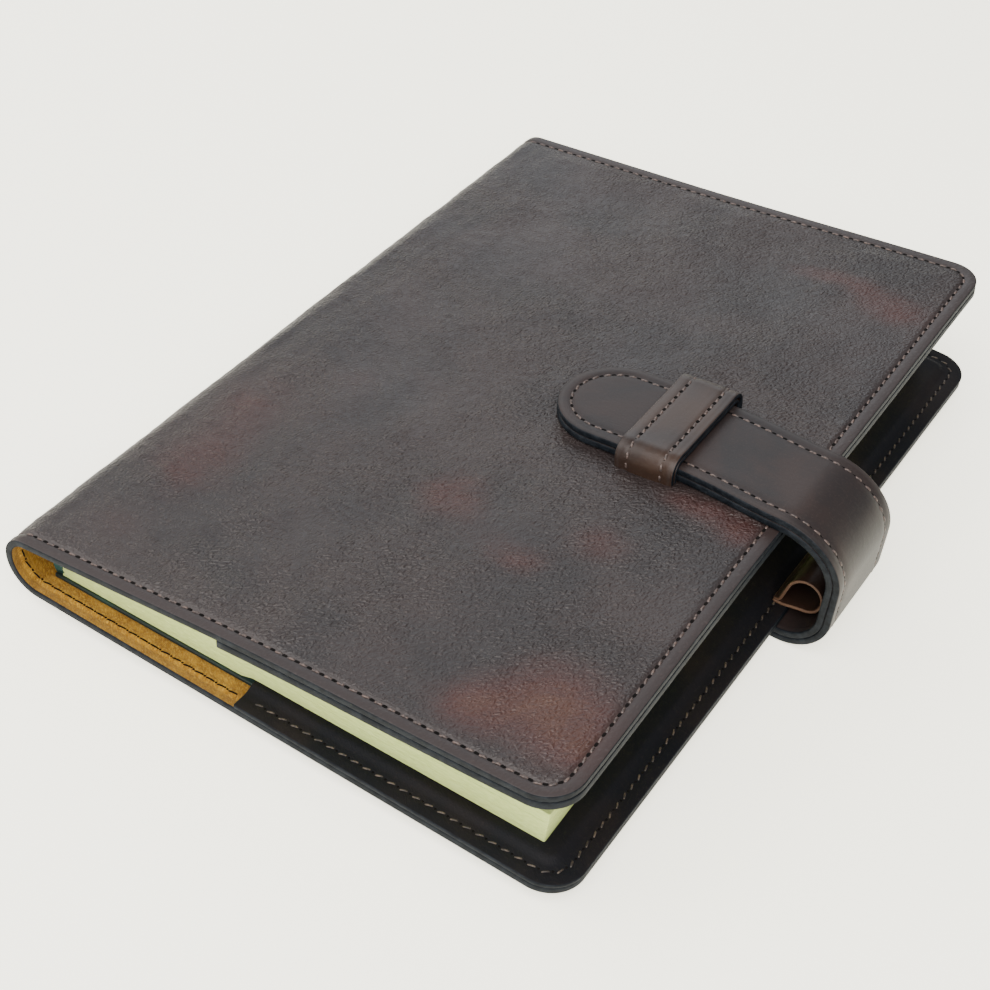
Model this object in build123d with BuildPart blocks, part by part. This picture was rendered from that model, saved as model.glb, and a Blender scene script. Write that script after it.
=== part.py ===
"""Leather notebook cover: one folded hide with inner pockets, a keeper, a wrap-round strap, a pen loop
and the notebook that it holds.

X runs from the spine to the fore-edge, Y from the tail to the head, and Z up. The cover lies on its back.
The origin is on the underside of the strap, below the middle of the covers. All sizes are millimetres.
"""

from build123d import *
from math import acos, cos, degrees, radians, sin, tan
import os

os.makedirs("parts", exist_ok=True)

# The covers: one hide, folded round the spine
cover_width = 147.0
back_cover_width = 150.6
cover_height = 226.0
leather = 1.8
corner_radius = 9.0
spine_height = 14.6
front_tilt = 6.8
lower_radius = 9.0
upper_radius = 6.0

# Pockets sewn inside the covers, open towards the spine
front_pocket_depth = 86.5
front_pocket_leather = 2.0
back_pocket_depth = 85.1
back_pocket_leather = 1.1
pocket_rim = 5.0
board_slack = 0.2

# The notebook
book_start = 9.0
book_width = 133.0
book_height = 208.4
board = 1.0
book_spine_wall = 3.0
book_spine_height = 9.9
page_height = 207.4
page_fore_inset = 2.0
page_thickness = 9.2
loose_leaves = 3.0
page_gap = 0.1

# The strap: two layers sewn together
strap_layer = 1.8
strap_width = 30.0
strap_centre = 2.5
strap_bulge = 12.4
strap_upper_radius = 16.0
strap_tip = 79.0
strap_clearance = 0.3
anchor_end = -8.0

# The keeper on the front cover
keeper_centre = 111.0
keeper_width = 15.6
keeper_wall = 1.2
keeper_lining_wall = 1.0
keeper_side_gap = 0.9
keeper_top_gap = 0.55
keeper_bend = 3.6

# The pen loop at the back cover's fore-edge
loop_centre = (80.4, 12.4)
loop_radius = 4.8
loop_wall = 0.9
loop_neck = 7.0
loop_neck_angle = 45.0
loop_start = -8.0
loop_length = 21.0
loop_tab = 3.4

# Sewing: thread lies on the leather as a narrow raised line
thread_width = 0.8
thread_height = 0.25
cover_seam = 3.4
strap_seam = 3.4
keeper_seam = 3.3
anchor_seam_end = 63.0

# Places that follow from the sizes
strap_thickness = 2 * strap_layer
tilt = radians(front_tilt)
spine_x = -cover_width / 2
fore_x = spine_x + back_cover_width
back_z = strap_thickness
front_z = back_z + spine_height
half_height = cover_height / 2

front_plane = Plane((spine_x, 0, front_z), x_dir=(cos(tilt), 0, sin(tilt)), z_dir=(-sin(tilt), 0, cos(tilt)))
back_plane = Plane((spine_x, 0, back_z))

upper_turn = 90 - front_tilt
lower_centre = (spine_x + lower_radius, back_z + lower_radius)
upper_centre = (spine_x + upper_radius, front_z + upper_radius * (tan(tilt) - 1 / cos(tilt)))
front_start = upper_radius * tan(radians(upper_turn / 2))

strap_lift = strap_clearance + strap_thickness
strap_plane = front_plane.offset(strap_lift)
bend_turn = 90 + front_tilt
strap_side_x = fore_x + strap_bulge
bend_x = strap_side_x - strap_upper_radius
bend_z = front_z + (bend_x - spine_x) * tan(tilt) + (strap_lift - strap_upper_radius) / cos(tilt)
strap_bottom = (fore_x, strap_bulge)
strap_top = (bend_x, bend_z)
tongue_root = (bend_x - spine_x) * cos(tilt) + (bend_z - front_z) * sin(tilt)
tip_centre = strap_tip + strap_width / 2
strap_side_plane = Plane.XZ.offset(-strap_centre)

front_pocket_start = cover_width - front_pocket_depth
back_pocket_start = back_cover_width - back_pocket_depth
board_end = book_start + book_width
page_start = book_start + book_spine_wall
page_end = board_end - page_fore_inset
page_z = leather + board + back_pocket_leather + page_gap


def close_band(first, second):
    """Join the ends of two open lines with straight edges and fill the band between them."""
    Line(first @ 0, second @ 0)
    Line(first @ 1, second @ 1)


def box_face(start, end, half_width, centre=0.0, mode=Mode.ADD):
    """A rectangle from one distance from the spine to another."""
    with Locations(((start + end) / 2, centre)):
        Rectangle(end - start, 2 * half_width, mode=mode)


def cover_face(start, end):
    """A cover's outline, square on the spine side and rounded at the two fore-edge corners."""
    with BuildLine() as outline:
        corners = [(start, -half_height), (end, -half_height), (end, half_height), (start, half_height)]
        edge = FilletPolyline(*corners, radius=corner_radius)
        Line(edge @ 0, edge @ 1)
    make_face(outline.edges())


def seam_face(start, fore_edge):
    """The seam: a narrow line along a cover's tail, fore-edge and head."""
    with BuildLine() as outline:
        lines = []
        for reach in (cover_seam - thread_width / 2, cover_seam + thread_width / 2):
            end = fore_edge - reach
            side = half_height - reach
            corners = [(start, -side), (end, -side), (end, side), (start, side)]
            lines.append(FilletPolyline(*corners, radius=corner_radius - reach))
        close_band(*lines)
    make_face(outline.edges())


def bend_face(centre, radius, start, turn, outside, inside):
    """A sector of a ring: a layer of leather going round a bend, between two distances from its radius."""
    with BuildLine() as outline:
        arcs = [CenterArc(centre, radius + reach, start, turn) for reach in (outside, inside)]
        close_band(*arcs)
    make_face(outline.edges())


def side_face(low, high, start, turns, outside, inside):
    """Half a bend, an upright and half a bend. Low and high are (centre, radius) pairs."""
    with BuildLine() as outline:
        lows = [CenterArc(low[0], low[1] + reach, start, turns[0]) for reach in (outside, inside)]
        highs = [CenterArc(high[0], high[1] + reach, start, turns[1]) for reach in (outside, inside)]
        for lower_arc, upper_arc in zip(lows, highs):
            Line(lower_arc @ 0, upper_arc @ 0)
        Line(lows[0] @ 1, lows[1] @ 1)
        Line(highs[0] @ 1, highs[1] @ 1)
    make_face(outline.edges())


def spine_face(outside, inside):
    """The spine's section, between two distances from its outer face."""
    low = (lower_centre, lower_radius)
    high = (upper_centre, upper_radius)
    side_face(low, high, 180, (45, -upper_turn / 2), outside, inside)


def strap_side_face(outside, inside):
    """The upright part of the strap's section, between two distances from its outer face."""
    low = (strap_bottom, strap_bulge)
    high = (strap_top, strap_upper_radius)
    side_face(low, high, 0, (-45, bend_turn / 2), outside, inside)


def tongue_face(inset=0.0, mode=Mode.ADD):
    """The strap's flat end on the front cover: straight edges and a half-round tip."""
    half_width = strap_width / 2 - inset
    with Locations((tip_centre, strap_centre)):
        Circle(half_width, mode=mode)
    box_face(tip_centre, tongue_root, half_width, strap_centre, mode)


def bridge_face(half_width, top, foot, wall, bend):
    """A band that rises from the cover, crosses over the strap and comes down again."""
    with BuildLine() as outline:
        lines = []
        for reach, radius in ((0, bend), (wall, bend - wall)):
            side = half_width - reach
            corners = [(-side, foot), (-side, top - reach), (side, top - reach), (side, foot)]
            lines.append(FilletPolyline(*corners, radius=radius))
        close_band(*lines)
    make_face(outline.edges())


# Back cover ---------------------------------------------------------------------------------------------

with BuildPart() as back_cover_leather:
    with BuildSketch(back_plane):
        cover_face(lower_radius, back_cover_width)
    extrude(amount=leather)
    with BuildSketch(Plane.XZ):
        bend_face(lower_centre, lower_radius, 225, 45, 0, -leather)
    extrude(amount=half_height, both=True)
back_cover_leather.part.label = "back_cover_leather"
export_step(back_cover_leather.part, "parts/back_cover_leather.step")

back_inner_plane = back_plane.offset(leather)

with BuildPart() as back_pocket:
    with BuildSketch(back_inner_plane):
        cover_face(back_pocket_start, back_cover_width)
    extrude(amount=back_pocket_leather)
    with BuildSketch(back_inner_plane):
        box_face(back_pocket_start, back_cover_width - pocket_rim + board, half_height - pocket_rim - board)
    extrude(amount=back_pocket_leather + board)
    with BuildSketch(back_inner_plane):
        box_face(back_pocket_start, board_end + board_slack, book_height / 2 + board_slack)
    extrude(amount=board, mode=Mode.SUBTRACT)
back_pocket.part.label = "back_pocket"
export_step(back_pocket.part, "parts/back_pocket.step")

with BuildPart() as back_seam_thread:
    with BuildSketch(back_plane):
        seam_face(lower_radius, back_cover_width)
        box_face(page_end, back_cover_width, strap_width / 2, strap_centre, Mode.SUBTRACT)
    extrude(amount=-thread_height)
back_seam_thread.part.label = "back_seam_thread"
export_step(back_seam_thread.part, "parts/back_seam_thread.step")

# Spine --------------------------------------------------------------------------------------------------

with BuildPart() as spine_leather:
    with BuildSketch(Plane.XZ):
        spine_face(0, -leather)
    extrude(amount=half_height, both=True)
spine_leather.part.label = "spine_leather"
export_step(spine_leather.part, "parts/spine_leather.step")

with BuildPart() as spine_seam_thread:
    for side in (-1, 1):
        with BuildSketch(Plane.XZ.offset(side * (half_height - cover_seam))):
            spine_face(thread_height, 0)
        extrude(amount=thread_width / 2, both=True)
spine_seam_thread.part.label = "spine_seam_thread"
export_step(spine_seam_thread.part, "parts/spine_seam_thread.step")

# Front cover --------------------------------------------------------------------------------------------

keeper_half = strap_width / 2 + keeper_side_gap + keeper_lining_wall + keeper_wall
keeper_top = strap_lift + keeper_top_gap + keeper_lining_wall + keeper_wall
keeper_slot = keeper_half - keeper_wall / 2

with BuildPart() as front_cover_leather:
    with BuildSketch(front_plane):
        cover_face(front_start, cover_width)
    extrude(amount=-leather)
    with BuildSketch(Plane.XZ):
        bend_face(upper_centre, upper_radius, 180 - upper_turn, upper_turn / 2, 0, -leather)
    extrude(amount=half_height, both=True)
    with BuildSketch(front_plane):
        slots = [(keeper_centre, strap_centre + side * keeper_slot) for side in (-1, 1)]
        with Locations(*slots):
            Rectangle(keeper_width, keeper_wall)
    extrude(amount=-leather, mode=Mode.SUBTRACT)
front_cover_leather.part.label = "front_cover_leather"
export_step(front_cover_leather.part, "parts/front_cover_leather.step")

front_inner_plane = front_plane.offset(-leather)

with BuildPart() as front_pocket:
    with BuildSketch(front_inner_plane):
        cover_face(front_pocket_start, cover_width)
    extrude(amount=-front_pocket_leather)
    with BuildSketch(front_inner_plane):
        box_face(front_pocket_start, cover_width - pocket_rim + board, half_height - pocket_rim - board)
    extrude(amount=-front_pocket_leather - board)
    with BuildSketch(front_inner_plane):
        box_face(front_pocket_start, board_end + board_slack, book_height / 2 + board_slack)
    extrude(amount=-board, mode=Mode.SUBTRACT)
front_pocket.part.label = "front_pocket"
export_step(front_pocket.part, "parts/front_pocket.step")

with BuildPart() as front_seam_thread:
    with BuildSketch(front_plane):
        seam_face(front_start, cover_width)
        box_face(tip_centre, cover_width, strap_width / 2 + keeper_side_gap, strap_centre, Mode.SUBTRACT)
    extrude(amount=thread_height)
front_seam_thread.part.label = "front_seam_thread"
export_step(front_seam_thread.part, "parts/front_seam_thread.step")

# Keeper -------------------------------------------------------------------------------------------------

keeper_plane = Plane(
    front_plane.from_local_coords((keeper_centre, strap_centre, 0)), x_dir=(0, 1, 0), z_dir=front_plane.x_dir
)

with BuildPart() as keeper_outer:
    with BuildSketch(keeper_plane):
        bridge_face(keeper_half, keeper_top, -leather, keeper_wall, keeper_bend)
    extrude(amount=keeper_width / 2, both=True)
keeper_outer.part.label = "keeper_outer"
export_step(keeper_outer.part, "parts/keeper_outer.step")

with BuildPart() as keeper_lining:
    with BuildSketch(keeper_plane):
        inner_top = keeper_top - keeper_wall
        bridge_face(keeper_half - keeper_wall, inner_top, 0, keeper_lining_wall, keeper_bend - keeper_wall)
    extrude(amount=keeper_width / 2, both=True)
keeper_lining.part.label = "keeper_lining"
export_step(keeper_lining.part, "parts/keeper_lining.step")

with BuildPart() as keeper_thread:
    for side in (-1, 1):
        with BuildSketch(keeper_plane.offset(side * (keeper_width / 2 - keeper_seam))):
            outer = keeper_half + thread_height
            bridge_face(outer, keeper_top + thread_height, 0, thread_height, keeper_bend + thread_height)
        extrude(amount=thread_width / 2, both=True)
keeper_thread.part.label = "keeper_thread"
export_step(keeper_thread.part, "parts/keeper_thread.step")

# Strap below the back cover -----------------------------------------------------------------------------

with BuildPart() as strap_anchor_outer:
    with BuildSketch(Plane.XY):
        box_face(anchor_end, fore_x, strap_width / 2, strap_centre)
    extrude(amount=strap_layer)
    with BuildSketch(strap_side_plane):
        bend_face(strap_bottom, strap_bulge, -90, 45, 0, -strap_layer)
    extrude(amount=strap_width / 2, both=True)
    with BuildSketch(Plane.XY) as anchor_groove:
        box_face(anchor_end + strap_seam, anchor_seam_end, strap_width / 2 - strap_seam, strap_centre)
        offset(amount=-thread_width, kind=Kind.INTERSECTION, mode=Mode.SUBTRACT)
    extrude(amount=thread_height, mode=Mode.SUBTRACT)
strap_anchor_outer.part.label = "strap_anchor_outer"
export_step(strap_anchor_outer.part, "parts/strap_anchor_outer.step")

with BuildPart() as strap_anchor_thread:
    with BuildSketch(Plane.XY):
        add(anchor_groove.sketch)
    extrude(amount=thread_height)
strap_anchor_thread.part.label = "strap_anchor_thread"
export_step(strap_anchor_thread.part, "parts/strap_anchor_thread.step")

with BuildPart() as strap_anchor_lining:
    with BuildSketch(Plane.XY.offset(strap_layer)):
        box_face(anchor_end, fore_x, strap_width / 2, strap_centre)
    extrude(amount=strap_layer)
    with BuildSketch(strap_side_plane):
        bend_face(strap_bottom, strap_bulge, -90, 45, -strap_layer, -strap_thickness)
    extrude(amount=strap_width / 2, both=True)
strap_anchor_lining.part.label = "strap_anchor_lining"
export_step(strap_anchor_lining.part, "parts/strap_anchor_lining.step")

# Strap round the fore-edge ------------------------------------------------------------------------------

with BuildPart() as strap_side_outer:
    with BuildSketch(strap_side_plane):
        strap_side_face(0, -strap_layer)
    extrude(amount=strap_width / 2, both=True)
strap_side_outer.part.label = "strap_side_outer"
export_step(strap_side_outer.part, "parts/strap_side_outer.step")

with BuildPart() as strap_side_lining:
    with BuildSketch(strap_side_plane):
        strap_side_face(-strap_layer, -strap_thickness)
    extrude(amount=strap_width / 2, both=True)
strap_side_lining.part.label = "strap_side_lining"
export_step(strap_side_lining.part, "parts/strap_side_lining.step")

with BuildPart() as strap_side_thread:
    for side in (-1, 1):
        with BuildSketch(strap_side_plane.offset(side * (strap_width / 2 - strap_seam))):
            strap_side_face(thread_height, 0)
        extrude(amount=thread_width / 2, both=True)
strap_side_thread.part.label = "strap_side_thread"
export_step(strap_side_thread.part, "parts/strap_side_thread.step")

# Strap on the front cover -------------------------------------------------------------------------------

with BuildPart() as strap_tongue_outer:
    with BuildSketch(strap_plane):
        tongue_face()
    extrude(amount=-strap_layer)
    with BuildSketch(strap_side_plane):
        bend_face(strap_top, strap_upper_radius, bend_turn / 2, bend_turn / 2, 0, -strap_layer)
    extrude(amount=strap_width / 2, both=True)
strap_tongue_outer.part.label = "strap_tongue_outer"
export_step(strap_tongue_outer.part, "parts/strap_tongue_outer.step")

with BuildPart() as strap_tongue_lining:
    with BuildSketch(strap_plane.offset(-strap_layer)):
        tongue_face()
    extrude(amount=-strap_layer)
    with BuildSketch(strap_side_plane):
        bend_face(strap_top, strap_upper_radius, bend_turn / 2, bend_turn / 2, -strap_layer, -strap_thickness)
    extrude(amount=strap_width / 2, both=True)
strap_tongue_lining.part.label = "strap_tongue_lining"
export_step(strap_tongue_lining.part, "parts/strap_tongue_lining.step")

with BuildPart() as strap_tongue_thread:
    with BuildSketch(strap_plane):
        tongue_face(strap_seam - thread_width / 2)
        tongue_face(strap_seam + thread_width / 2, Mode.SUBTRACT)
    extrude(amount=thread_height)
strap_tongue_thread.part.label = "strap_tongue_thread"
export_step(strap_tongue_thread.part, "parts/strap_tongue_thread.step")

# Pen loop: a teardrop of thin leather, its neck on a tab that is sewn to the pocket's rim -----------------

neck_turn = degrees(acos(loop_radius / loop_neck))


def loop_point(distance, angle):
    """A point at this distance from the loop's centre, in this direction."""
    turn = radians(angle)
    return (loop_centre[0] + distance * cos(turn), loop_centre[1] + distance * sin(turn))


neck = loop_point(loop_neck, 180 + loop_neck_angle)
left = loop_point(loop_radius, 180 + loop_neck_angle - neck_turn)
right = loop_point(loop_radius, 180 + loop_neck_angle + neck_turn)
tab_foot = back_z + leather + back_pocket_leather
tab_top = neck[1] + loop_wall / 2
tab_start = fore_x - pocket_rim + board + board_slack

with BuildPart() as pen_loop:
    with BuildSketch(Plane.XZ.offset(-loop_start - loop_length / 2)):
        with Locations(loop_centre):
            Circle(loop_radius)
        with BuildLine():
            Polyline(neck, left, loop_centre, right, close=True)
        make_face()
        offset(amount=-loop_wall, kind=Kind.INTERSECTION, mode=Mode.SUBTRACT)
        with Locations((tab_start + loop_tab / 2, (tab_foot + tab_top) / 2)):
            Rectangle(loop_tab, tab_top - tab_foot)
    extrude(amount=loop_length / 2, both=True)
pen_loop.part.label = "pen_loop"
export_step(pen_loop.part, "parts/pen_loop.step")

# Notebook -----------------------------------------------------------------------------------------------

with BuildPart() as notebook_back_board:
    with BuildSketch(back_inner_plane):
        box_face(book_start, board_end, book_height / 2)
    extrude(amount=board)
notebook_back_board.part.label = "notebook_back_board"
export_step(notebook_back_board.part, "parts/notebook_back_board.step")

with BuildPart() as notebook_spine:
    with BuildSketch(back_inner_plane.offset(board)):
        box_face(book_start, page_start, book_height / 2)
    extrude(amount=book_spine_height)
notebook_spine.part.label = "notebook_spine"
export_step(notebook_spine.part, "parts/notebook_spine.step")

with BuildPart() as page_block:
    with BuildSketch(back_plane.offset(page_z)):
        box_face(page_start, page_end, page_height / 2)
    extrude(amount=page_thickness - loose_leaves - page_gap / 2)
page_block.part.label = "page_block"
export_step(page_block.part, "parts/page_block.step")

with BuildPart() as front_leaves:
    with BuildSketch(back_plane.offset(page_z + page_thickness - loose_leaves)):
        box_face(page_start, page_end, page_height / 2)
    extrude(amount=loose_leaves)
front_leaves.part.label = "front_leaves"
export_step(front_leaves.part, "parts/front_leaves.step")

with BuildPart() as notebook_front_board:
    with BuildSketch(front_inner_plane):
        box_face(book_start, board_end, book_height / 2)
    extrude(amount=-board)
notebook_front_board.part.label = "notebook_front_board"
export_step(notebook_front_board.part, "parts/notebook_front_board.step")

print("hinge of spine on back cover:", spine_x + leather / 2, back_z + leather / 2)
front_mid_z = front_z + leather / 2 * (tan(tilt) - 1 / cos(tilt))
print("hinge of front cover on spine:", spine_x + leather / 2, round(front_mid_z, 3))
strap_mid_x = strap_side_x - strap_layer
print("lower hinge of strap:", strap_mid_x, strap_layer)
strap_mid_z = front_z + (strap_mid_x - spine_x) * tan(tilt) + (strap_lift - strap_layer) / cos(tilt)
print("upper hinge of strap:", strap_mid_x, round(strap_mid_z, 3))
print("hinge of the leaves:", spine_x + page_start, round(back_z + page_z + page_thickness, 3))
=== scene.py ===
# %% [markdown]
# # A leather notebook cover
# The cover is one hide, folded round a notebook and sewn along its edge. Two pockets inside hold the
# notebook's boards. A strap of two layers goes round the fore-edge and under a keeper, and a small loop
# of thin leather holds a pen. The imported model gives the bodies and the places; this lesson makes the
# surfaces that are seen. Lengths are written in millimetres and turned into metres at the mesh.

# %% Load the frame
import math
import bpy
import numpy as np
from mathutils import Matrix, Vector


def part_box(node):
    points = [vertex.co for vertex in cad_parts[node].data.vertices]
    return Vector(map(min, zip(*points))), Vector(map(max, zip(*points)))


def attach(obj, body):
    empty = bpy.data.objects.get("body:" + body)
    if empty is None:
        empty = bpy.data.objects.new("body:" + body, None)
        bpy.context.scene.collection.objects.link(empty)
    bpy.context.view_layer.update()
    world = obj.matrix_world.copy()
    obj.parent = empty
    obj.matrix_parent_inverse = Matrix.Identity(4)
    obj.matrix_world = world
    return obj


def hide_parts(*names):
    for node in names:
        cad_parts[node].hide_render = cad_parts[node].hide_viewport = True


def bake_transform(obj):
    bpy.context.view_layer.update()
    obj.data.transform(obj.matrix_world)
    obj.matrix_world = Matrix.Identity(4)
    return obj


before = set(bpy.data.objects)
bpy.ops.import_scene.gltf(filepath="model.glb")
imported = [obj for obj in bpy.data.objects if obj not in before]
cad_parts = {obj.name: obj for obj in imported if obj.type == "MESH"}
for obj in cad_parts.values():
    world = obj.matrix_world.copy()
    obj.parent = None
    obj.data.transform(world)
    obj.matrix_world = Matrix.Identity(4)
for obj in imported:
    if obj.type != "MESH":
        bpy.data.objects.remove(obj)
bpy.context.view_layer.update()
MM = 0.001


def node_box(name):
    """A CAD node's lowest and highest corners in millimetres, as two arrays."""
    low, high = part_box(name)
    return np.array(low) / MM, np.array(high) / MM


# %% [markdown]
# ## Driving sizes
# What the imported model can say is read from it: where the spine, the fore-edge and the strap are. A few
# values that no box shows, such as the slope of the front cover and the bend radii, are stated here.

# %% Sizes and places
back_low, back_high = node_box("back_cover_leather")
SPINE_X = node_box("spine_leather")[0][0]
FORE_X = back_high[0]
BACK_Z = back_low[2]
HALF_HEIGHT = back_high[1]
BACK_WIDTH = FORE_X - SPINE_X
LEATHER = 1.8
CORNER = 9.0
TILT = math.radians(6.8)
LOWER_BEND = 9.0
UPPER_BEND = 6.0
SEAM = 3.4
front_high = node_box("front_cover_leather")[1]
FRONT_WIDTH = (front_high[0] - SPINE_X - LEATHER * math.sin(TILT)) / math.cos(TILT)
FRONT_Z = front_high[2] - FRONT_WIDTH * math.sin(TILT)

tongue_low, tongue_high = node_box("strap_tongue_outer")
STRAP_CENTRE = (tongue_low[1] + tongue_high[1]) / 2
STRAP_HALF = (tongue_high[1] - tongue_low[1]) / 2
STRAP_LAYER = 1.8
STRAP_LIFT = 0.3 + 2 * STRAP_LAYER
SIDE_X = node_box("strap_side_outer")[1][0]
LOWER_STRAP_BEND = SIDE_X - FORE_X
UPPER_STRAP_BEND = 16.0
STRAP_TIP = 79.0
ANCHOR_END = node_box("strap_anchor_outer")[0][0]

KEEPER_U = 111.0
KEEPER_WIDTH = 15.6
KEEPER_HALF = (node_box("keeper_outer")[1][1] - node_box("keeper_outer")[0][1]) / 2
KEEPER_TOP = 6.65
KEEPER_BEND = 4.4
print("back cover", round(BACK_WIDTH, 1), "and front cover", round(FRONT_WIDTH, 1), "mm wide")

# %% [markdown]
# ## Camera
# The camera comes first, because every later decision is judged through it. It looks down on the front
# cover from the tail, on the fore-edge's side, a little rolled. Its place and angles are three turns of a
# view direction, which is easier to read and to correct than a matrix of numbers.

# %% Camera
VIEW_AZIMUTH = 26.52
VIEW_ELEVATION = 42.25
VIEW_ROLL = -8.73
VIEW_PLACE = (158.05, -334.5, 326.77)


def view_matrix(place, azimuth, elevation, roll):
    """The camera's matrix.

    It looks along the azimuth, tipped down by the elevation, and is then turned by the roll."""
    turn, tip, lean = (math.radians(angle) for angle in (azimuth, elevation, roll))
    forward = Vector((-math.sin(turn) * math.cos(tip), math.cos(turn) * math.cos(tip), -math.sin(tip)))
    level = forward.cross(Vector((0, 0, 1))).normalized()
    down = forward.cross(level)
    right = math.cos(lean) * level + math.sin(lean) * down
    up = math.sin(lean) * level - math.cos(lean) * down
    matrix = Matrix((right, up, -forward)).transposed().to_4x4()
    matrix.translation = Vector(place) * MM
    return matrix


camera = bpy.data.objects.new("camera", bpy.data.cameras.new("camera"))
bpy.context.scene.collection.objects.link(camera)
camera.data.sensor_width = 36
camera.data.lens = 69.4
camera.data.clip_end = 120
camera.matrix_world = view_matrix(VIEW_PLACE, VIEW_AZIMUTH, VIEW_ELEVATION, VIEW_ROLL)
bpy.context.scene.camera = camera
print("camera", round(math.dist(VIEW_PLACE, (0, 0, 20))), "mm from the middle of the cover")

# %% [markdown]
# ## Finishes as expressions
# A finish is built up in layers, such as dye, rubbing, grain and gloss, and each layer is a few shader nodes.
# They could be added one call at a time, but then the recipe is lost among the links. So one class wraps a
# node's output and lets it be added and multiplied, and another holds the material and adds its nodes.

# %% Sockets that can be added and multiplied


class Socket:
    """A node's output that takes part in Python expressions; each operator adds its Math node."""

    def __init__(self, finish, output):
        self.finish = finish
        self.output = output

    def math(self, operation, *others):
        inputs = dict(enumerate((self, *others)))
        return self.finish.node("ShaderNodeMath", {"operation": operation}, inputs)

    def __add__(self, other):
        return self.math("ADD", other)

    def __sub__(self, other):
        return self.math("SUBTRACT", other)

    def __mul__(self, other):
        return self.math("MULTIPLY", other)

    def __rsub__(self, other):
        return self.finish.node("ShaderNodeMath", {"operation": "SUBTRACT"}, {0: other, 1: self})

    __radd__ = __add__
    __rmul__ = __mul__

    def step(self, low, high):
        """0 below low, 1 above high and smooth between."""
        settings = {"interpolation_type": "SMOOTHSTEP"}
        inputs = {"Value": self, "From Min": low, "From Max": high}
        return self.finish.node("ShaderNodeMapRange", settings, inputs)


# %% A material and the method that adds its nodes
class Finish:
    """A material and the one method that adds its nodes."""

    def __init__(self, name):
        self.material = bpy.data.materials.new(name)
        self.material.use_nodes = True
        self.tree = self.material.node_tree
        self.shader = self.tree.nodes["Principled BSDF"]

    def plug(self, target, value):
        if isinstance(value, Socket):
            self.tree.links.new(value.output, target)
        else:
            target.default_value = value

    def node(self, kind, settings=None, inputs=None, output=0):
        """Adds a node: its settings first, a ramp's stops among them, then its sockets' values or links."""
        node = self.tree.nodes.new(kind)
        for key, value in (settings or {}).items():
            if key == "stops":
                while len(node.color_ramp.elements) < len(value):
                    node.color_ramp.elements.new(1.0)
                for element, (place, colour) in zip(node.color_ramp.elements, value):
                    element.position = place
                    element.color = (*colour, 1)
            else:
                setattr(node, key, value)
        for key, value in (inputs or {}).items():
            self.plug(node.inputs[key], value)
        return Socket(self, node.outputs[output])

    def mix(self, mask, first, second):
        """A colour between two colours, or the sockets that carry them."""
        ends = [colour if isinstance(colour, Socket) else (*colour, 1) for colour in (first, second)]
        return self.node("ShaderNodeMix", {"data_type": "RGBA"}, {0: mask, 6: ends[0], 7: ends[1]}, 2)

    def noise(self, place, scale, detail=3.0, roughness=0.55, distortion=0.0):
        inputs = {"Vector": place, "Scale": scale, "Detail": detail}
        inputs |= {"Roughness": roughness, "Distortion": distortion}
        return self.node("ShaderNodeTexNoise", None, inputs)

    def cells(self, place, scale):
        """How far a place lies from the border of its cell, as the creases between pebbles are."""
        inputs = {"Vector": place, "Scale": scale}
        return self.node("ShaderNodeTexVoronoi", {"feature": "DISTANCE_TO_EDGE"}, inputs)

    def stretch(self, place, scale, turn=0.0):
        """Coordinates along axes that are turned by this angle, each multiplied by its scale."""
        inputs = {"Vector": place, "Rotation": (0, 0, turn), "Scale": tuple(1 / size for size in scale)}
        return self.node("ShaderNodeMapping", {"vector_type": "TEXTURE"}, inputs)

    def warp(self, place, scale, amount):
        """The same coordinates pushed about by noise, so that what follows them has no straight lines."""
        push = self.node("ShaderNodeTexNoise", None, {"Vector": place, "Scale": scale, "Detail": 2.0}, 1)
        inputs = {0: push, 1: (amount, amount, 0.0), 2: place}
        return self.node("ShaderNodeVectorMath", {"operation": "MULTIPLY_ADD"}, inputs)

    def bump(self, height, distance, strength):
        """A normal from a height; the distance is how deep a height of 1 is, in metres."""
        inputs = {"Height": height, "Distance": distance, "Strength": strength}
        return self.node("ShaderNodeBump", None, inputs)

    def object_place(self):
        """Places in the object's own coordinates, for patterns that don't bend with a sheet."""
        return self.node("ShaderNodeTexCoord", output=3)

    def sheet_place(self):
        """Places on the flat leather, in metres, as it lay before it was bent."""
        return self.node("ShaderNodeUVMap", {"uv_map": "sheet"})

    def measure(self, name):
        """A number stored on the mesh's points."""
        return self.node("ShaderNodeAttribute", {"attribute_name": name}, output=2)

    def set(self, **sockets):
        """Sets the shader's sockets, named with underscores, and gives the material."""
        for key, value in sockets.items():
            self.plug(self.shader.inputs[key.replace("_", " ")], value)
        return self.material


# %% [markdown]
# ## Floor and light
# The floor is plain and pale, and gives off a little light of its own, as a lit sheet of studio paper seems
# to. The light is one broad soft panel in front, a weaker one on the spine's side, and a small cool one
# behind the head, which puts a sheen on the hide. The world fills the shadows.

# %% Floor and lights
FLOOR_REACH = 40.0
FLOOR_LEVEL = -0.0002


def make_floor():
    """A plain pale floor, well past the edges of the view, just under the object."""
    finish = Finish("pale_floor")
    finish.set(Base_Color=(0.92, 0.90, 0.80, 1), Roughness=0.9)
    material = finish.set(Emission_Color=(1.0, 0.96, 0.78, 1), Emission_Strength=1.6)
    mesh = bpy.data.meshes.new("floor")
    signs = ((-1, -1), (1, -1), (1, 1), (-1, 1))
    corners = [(FLOOR_REACH * x, FLOOR_REACH * y, FLOOR_LEVEL) for x, y in signs]
    mesh.from_pydata(corners, [], [(0, 1, 2, 3)])
    mesh.materials.append(material)
    floor = bpy.data.objects.new("floor", mesh)
    bpy.context.scene.collection.objects.link(floor)


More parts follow.
